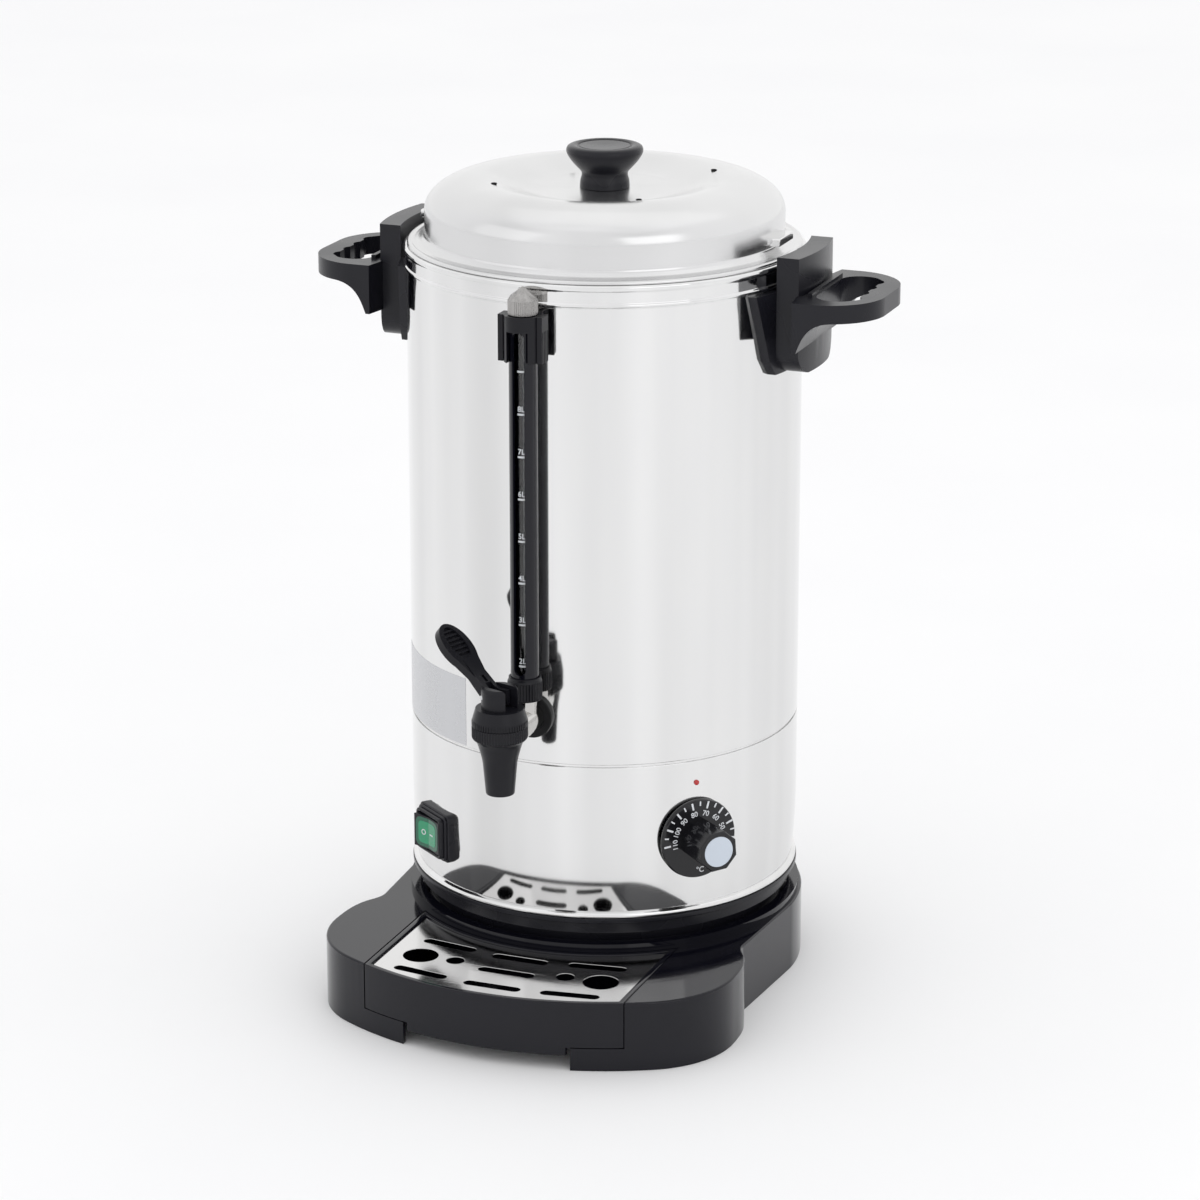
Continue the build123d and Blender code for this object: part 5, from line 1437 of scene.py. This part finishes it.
@dataclass
class Switch:
    """The rocker switch in its sealed frame."""

    turn: float = -37.5
    height: float = 92.0
    # The frame's steps: width, height, inner and outer reach from the body's axis, and edge.
    steps: Corners = (
        (33.5, 29.0, 108.6, 115.6, 0.9), (31.4, 27.0, 115.2, 117.2, 0.8), (29.0, 24.6, 116.6, 119.6, 1.0),
    )
    step_corner: float = 3.6
    opening: tuple[float, float, float] = (25.2, 20.8, 2.6)
    pivot: float = 115.5
    tilt: float = 7.0
    # The rocker's face is a shallow V: its middle's height, and each half's rise and length.
    face_middle: float = 3.85
    face_rise: float = 1.75
    face_length: float = 12.0
    face_lift: float = 0.02
    # From the middle of a face's half: where the window ends, half its height, corner and rise.
    rim: tuple[float, float, float, float] = (4.5, 8.9, 4.4, 0.12)
    window: tuple[float, float, float, float] = (2.2, 6.7, 3.2, 0.26)
    window_start: float = -5.97
    window_back: float = -0.3
    window_edge: float = 0.05
    ring_size: float = 4.6
    ring_spot: Triple = (2.2, 0, 0.28)
    bar_half: tuple[float, float] = (1.7, 0.4)
    bar_spot: Triple = (-2.4, 0, 0)
    bar_layer: tuple[float, float, float] = (0.2, 0.34, 0.02)

    def frame(self) -> None:
        """Makes the stepped sealing frame round the rocker."""
        wall = on_wall(self.turn, 0.0, self.height)
        hole = list(reversed(box(*self.opening)))
        pieces = []
        for index, (width, high, low, top, edge) in enumerate(self.steps):
            outlines = [box(width, high, self.step_corner), hole]
            pieces.append(plate(f"switch_step_{index}", outlines, wall, low, top, edge))
        hand_over(merged("switch_bezel", pieces), Look.BLACK_SATIN, Body.DISPENSER, ["switch_frame"])

    def half_face(self, side: int) -> Matrix:
        """The plane of one half of the rocker's face.

        Args:
            side: 1 for the half at the positive end, -1 for the other.

        Returns:
            The plane, with its origin in that half's middle.
        """
        base = on_wall(self.turn, self.pivot, self.height)
        lean = Matrix.Rotation(radians(self.tilt), 4, "Z")
        place = Matrix.Translation(base.translation) @ lean @ base.to_3x3().to_4x4()
        lift = self.face_middle + self.face_rise / 2 + self.face_lift
        slope = atan2(self.face_rise, self.face_length)
        middle = Matrix.Translation((side * self.face_length / 2, 0, lift))
        return place @ middle @ Matrix.Rotation(side * slope, 4, "Y").inverted()

    def half_window(
        self, side: int, reach: float, half: float, corner: float, top: float
    ) -> bpy.types.Object:
        """Makes one half of a window in the rocker's face.

        Args:
            side: 1 for the half at the positive end, -1 for the other.
            reach: how far past that half's middle the window goes.
            half: half the window's height.
            corner: the reach of its outer corners' rounding.
            top: how far it stands over the face.

        Returns:
            The half window.
        """
        start = self.window_start
        corners = [(start, -half, 0), (reach, -half, corner), (reach, half, corner), (start, half, 0)]
        outline = [(side * x, y) for x, y in rounded(corners, corner, 6)]
        face = self.half_face(side)
        return plate(f"rocker_window_{side}", [outline], face, self.window_back, top, self.window_edge)

    def rocker(self) -> None:
        """Makes the rocker with its dark green rim, its brighter window and its two printed marks."""
        shell = softened("switch_rocker", "switch_rocker_shell", width=0.8, steps=3, sharp=20.0)
        hand_over(shell, Look.BLACK_SATIN, Body.ROCKER, ["switch_rocker"])
        for name, look, sizes in (
            ("switch_green_rim", Look.GREEN_DEEP, self.rim),
            ("switch_green_window", Look.GREEN_LIT, self.window),
        ):
            halves = [self.half_window(side, *sizes) for side in (-1, 1)]
            hand_over(merged(name, halves), look, Body.ROCKER)
        ring_place = self.half_face(-1) @ Matrix.Translation(self.ring_spot)
        ring = lettering("switch_o", "O", self.ring_size, ring_place)
        x, y = self.bar_half
        bar_place = self.half_face(1) @ Matrix.Translation(self.bar_spot)
        bar = plate("switch_i", [[(-x, -y), (x, -y), (x, y), (-x, y)]], bar_place, *self.bar_layer)
        hand_over(merged("switch_marks", [ring, bar]), Look.MARK_WHITE, Body.ROCKER)

    def build(self) -> None:
        """Makes every piece of the switch."""
        self.frame()
        self.rocker()


# Stand


@dataclass
class Stand:
    """The black stand with its drip tray and grille."""

    grille_low: float = 38.5
    grille_high: float = 39.3
    grille_half: float = 74.6
    grille_front: float = 186.7
    grille_back: float = 120.4
    slot_length: float = 34.0
    slot_width: float = 6.6
    slot_lean: float = 8.0
    side_slot_x: float = 45.2
    side_slot_rows: tuple[float, float] = (-128.0, -170.3)
    middle_slot_rows: tuple[float, ...] = (-133.0, -153.2, -174.3)
    hole_row: float = -147.6
    holes: tuple[tuple[float, float], ...] = ((54.9, 10.15), (33.5, 5.25))
    sheet_edge: float = 0.2

    def slot(self, x: float, y: float, turn: float) -> Outline:
        """The outline of one slot.

        Args:
            x: its middle's x.
            y: its middle's y.
            turn: its lean in degrees.

        Returns:
            The points, clockwise.
        """
        half = (self.slot_length - self.slot_width) / 2
        radius = self.slot_width / 2
        points = arc((half, 0), radius, 90, -90, 8) + arc((-half, 0), radius, -90, -270, 8)
        lean = Matrix.Rotation(radians(turn), 2)
        return [tuple(lean @ Vector(point) + Vector((x, y))) for point in points]

    def grille(self) -> None:
        """Makes the flat stainless grille with its slots and drain holes."""
        front = degrees(asin(self.grille_half / self.grille_front))
        back = degrees(asin(self.grille_half / self.grille_back))
        outlines = [
            arc((0, 0), self.grille_front, -90 - front, -90 + front, 40)
            + arc((0, 0), self.grille_back, -90 + back, -90 - back, 40)
        ]
        for y in self.middle_slot_rows:
            outlines.append(self.slot(0, y, 0))
        for side in (1, -1):
            for y in self.side_slot_rows:
                outlines.append(self.slot(side * self.side_slot_x, y, side * self.slot_lean))
            for x, radius in self.holes:
                outlines.append(arc((side * x, self.hole_row), radius, 360, 0, 48)[:-1])
        sheet = plate("grille_sheet", outlines, upright(), self.grille_low, self.grille_high, self.sheet_edge)
        hand_over(sheet, Look.SATIN_STEEL, Body.GRILLE, ["grille"], sharp=50.0)

    def build(self) -> None:
        """Makes the stand, the tray and the grille."""
        housing = softened("stand", "stand_housing", width=0.5, steps=2, sharp=40.0)
        hand_over(housing, Look.BLACK_GLOSS, Body.DISPENSER, ["stand"])
        tray = softened("drip_tray", "tray_box", width=0.6, steps=2, sharp=40.0)
        hand_over(tray, Look.BLACK_GLOSS, Body.TRAY, ["drip_tray"])
        self.grille()


# What keeps its solid


KEPT = {
    Look.ZINC_STEEL: (
        "stand_screws", "knob_screw", "handle_screws", "bracket_screw", "lever_pin", "thermostat_nut",
        "earth_stud",
    ),
    Look.BLACK_RUBBER_AND_SHADE: ("tee_flange",),
    Look.CLEAR_SILICONE: ("tee_washer", "gauge_seal", "seat_cup"),
    Look.PLATED_BRASS: ("tee_lock_nut", "switch_terminals", "terminal_screws"),
    Look.SCALE_BLACK: ("scale_strip",),
    Look.SATIN_STEEL: ("tap_stem", "thermostat_shaft", "heater_ring"),
    Look.CREAM_PLASTIC: ("thermostat_body", "cut_out", "terminal_block"),
    Look.COPPER_BULB: ("sensing_bulb",),
    Look.HEATER_METAL: ("heater_plate",),
    Look.BLACK_MATTE: ("switch_body",),
    Look.BLACK_SATIN: ("cord_gland",),
}


def dress_kept() -> None:
    """Gives every solid that stays in view its finish."""
    for look, names in KEPT.items():
        for name in names:
            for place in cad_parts[name].material_slots:
                place.material = finish(look)
            LOG.info("dressed %s", name)


# Studio


@dataclass
class Studio:
    """The plain pale room, its soft light and the camera. Places are in metres and turns in degrees."""

    turn: float = 21.2
    away: float = 2.311
    height: float = 0.945
    lens: float = 124.6
    sensor: float = 36.0
    look_height: float = 0.246
    shift: tuple[float, float] = (-0.004, -0.044)
    clip: tuple[float, float] = (0.05, 30.0)
    floor_half: float = 14.0
    floor_drop: float = 0.0002
    floor_tones: tuple[Triple, Triple] = ((0.93, 0.93, 0.935), (0.95, 0.95, 0.95))
    floor_scale: float = 3.0
    floor_roughness: float = 0.7
    # The surround's turn, 0 being straight behind the object, and its brightness there.
    bands: Corners = (
        (-180, 0.95), (-150, 1.0), (-120, 0.82), (-95, 0.98), (-60, 1.0), (0, 1.0), (60, 1.0), (100, 0.95),
        (130, 0.84), (155, 0.95),
    )
    surround: float = 1.05
    coolness: float = 1.01
    aim_height: float = 0.25
    # Each light's name, place, side and power in watts.
    lights: tuple[tuple[str, Triple, float, float], ...] = (
        ("left_box", (-1.6, -1.5, 1.3), 1.8, 2.0),
        ("right_box", (1.65, -1.3, 1.2), 1.4, 3.0),
        ("top_box", (0.0, 0.2, 2.4), 2.4, 2.0),
    )

    def floor(self) -> None:
        """Makes the pale floor."""
        work = bmesh.new()
        half = self.floor_half
        for x, y in ((-half, -half), (half, -half), (half, half), (-half, half)):
            work.verts.new((x, y, -self.floor_drop))
        work.faces.new(work.verts)
        floor = from_bmesh("floor", work)
        nodes = Nodes("floor")
        tone = nodes.tint(nodes.noise(self.floor_scale), *self.floor_tones)
        floor.data.materials.append(nodes.join(Base_Color=tone, Roughness=self.floor_roughness))
        floor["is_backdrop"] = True

    def world(self) -> None:
        """Makes the pale surround with soft darker bands, as paper and gaps between soft boxes give."""
        world = bpy.data.worlds.new("studio")
        bpy.context.scene.world = world
        world.use_nodes = True
        tree = world.node_tree
        nodes, links = tree.nodes, tree.links
        place = nodes.new("ShaderNodeTexCoord")
        split = nodes.new("ShaderNodeSeparateXYZ")
        links.new(place.outputs["Generated"], split.inputs[0])
        angle = nodes.new("ShaderNodeMath")
        angle.operation = "ARCTAN2"
        links.new(split.outputs[0], angle.inputs[0])
        links.new(split.outputs[1], angle.inputs[1])
        turn = nodes.new("ShaderNodeMapRange")
        links.new(angle.outputs[0], turn.inputs[0])
        for index, value in enumerate((-pi, pi, 0.0, 1.0), 1):
            turn.inputs[index].default_value = value
        ramp = nodes.new("ShaderNodeValToRGB")
        ramp.color_ramp.interpolation = "B_SPLINE"
        links.new(turn.outputs[0], ramp.inputs[0])
        self.shade(ramp.color_ramp)
        back = nodes["Background"]
        links.new(ramp.outputs[0], back.inputs[0])
        back.inputs[1].default_value = self.surround

    def shade(self, ramp: bpy.types.ColorRamp) -> None:
        """Sets the surround's brightness round the room.

        Args:
            ramp: the colour ramp from -180 to 180 degrees.
        """
        while len(ramp.elements) > 1:
            ramp.elements.remove(ramp.elements[-1])
        for index, (turn, value) in enumerate(self.bands):
            share = (turn + 180) / 360
            stop = ramp.elements[0] if index == 0 else ramp.elements.new(share)
            stop.position = share
            stop.color = (value, value, value * self.coolness, 1.0)

    def stand_up(self, name: str, data: bpy.types.ID, place: Triple, target: float) -> bpy.types.Object:
        """Puts a light or a camera in its place and points it at the object.

        Args:
            name: the object's name.
            data: the light or the camera.
            place: where it stands.
            target: the height on the body's axis that it points at.

        Returns:
            The new object.
        """
        holder = bpy.data.objects.new(name, data)
        holder.location = place
        aim = Vector((0, 0, target)) - holder.location
        holder.rotation_mode = "QUATERNION"
        holder.rotation_quaternion = aim.to_track_quat("-Z", "Y")
        bpy.context.scene.collection.objects.link(holder)
        return holder

    def softbox(self, name: str, place: Triple, size: float, power: float) -> None:
        """Adds one soft light.

        Args:
            name: the light's name.
            place: where it stands.
            size: its side.
            power: its power in watts.
        """
        light = bpy.data.lights.new(name, "AREA")
        light.shape, light.size, light.energy = "SQUARE", size, power
        self.stand_up(name, light, place, self.aim_height)

    def camera(self) -> None:
        """Places the camera at the photograph's angle."""
        camera = bpy.data.cameras.new("camera")
        camera.lens, camera.sensor_width = self.lens, self.sensor
        camera.shift_x, camera.shift_y = self.shift
        camera.clip_start, camera.clip_end = self.clip
        turn = radians(self.turn)
        place = (sin(turn) * self.away, -cos(turn) * self.away, self.height)
        bpy.context.scene.camera = self.stand_up("camera", camera, place, self.look_height)

    def build(self) -> None:
        """Sets up the whole studio."""
        self.floor()
        self.world()
        for light in self.lights:
            self.softbox(*light)
        self.camera()
        bpy.context.scene.view_settings.view_transform = "Standard"


def corners() -> list[list[float]]:
    """The shown object's lowest and highest corner as plain lists."""
    return [[round(value, 6) for value in corner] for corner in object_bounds()]


def main() -> None:
    """Builds everything in order."""
    logging.basicConfig(level=logging.INFO, format="%(message)s")
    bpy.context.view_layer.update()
    for part in (Vessel(), Lid(), Handle("right"), Handle("left"), Gauge(), Tap(), Dial(), Switch(), Stand()):
        part.build()
    dress_kept()
    Studio().build()


if __name__ == "__main__":
    main()
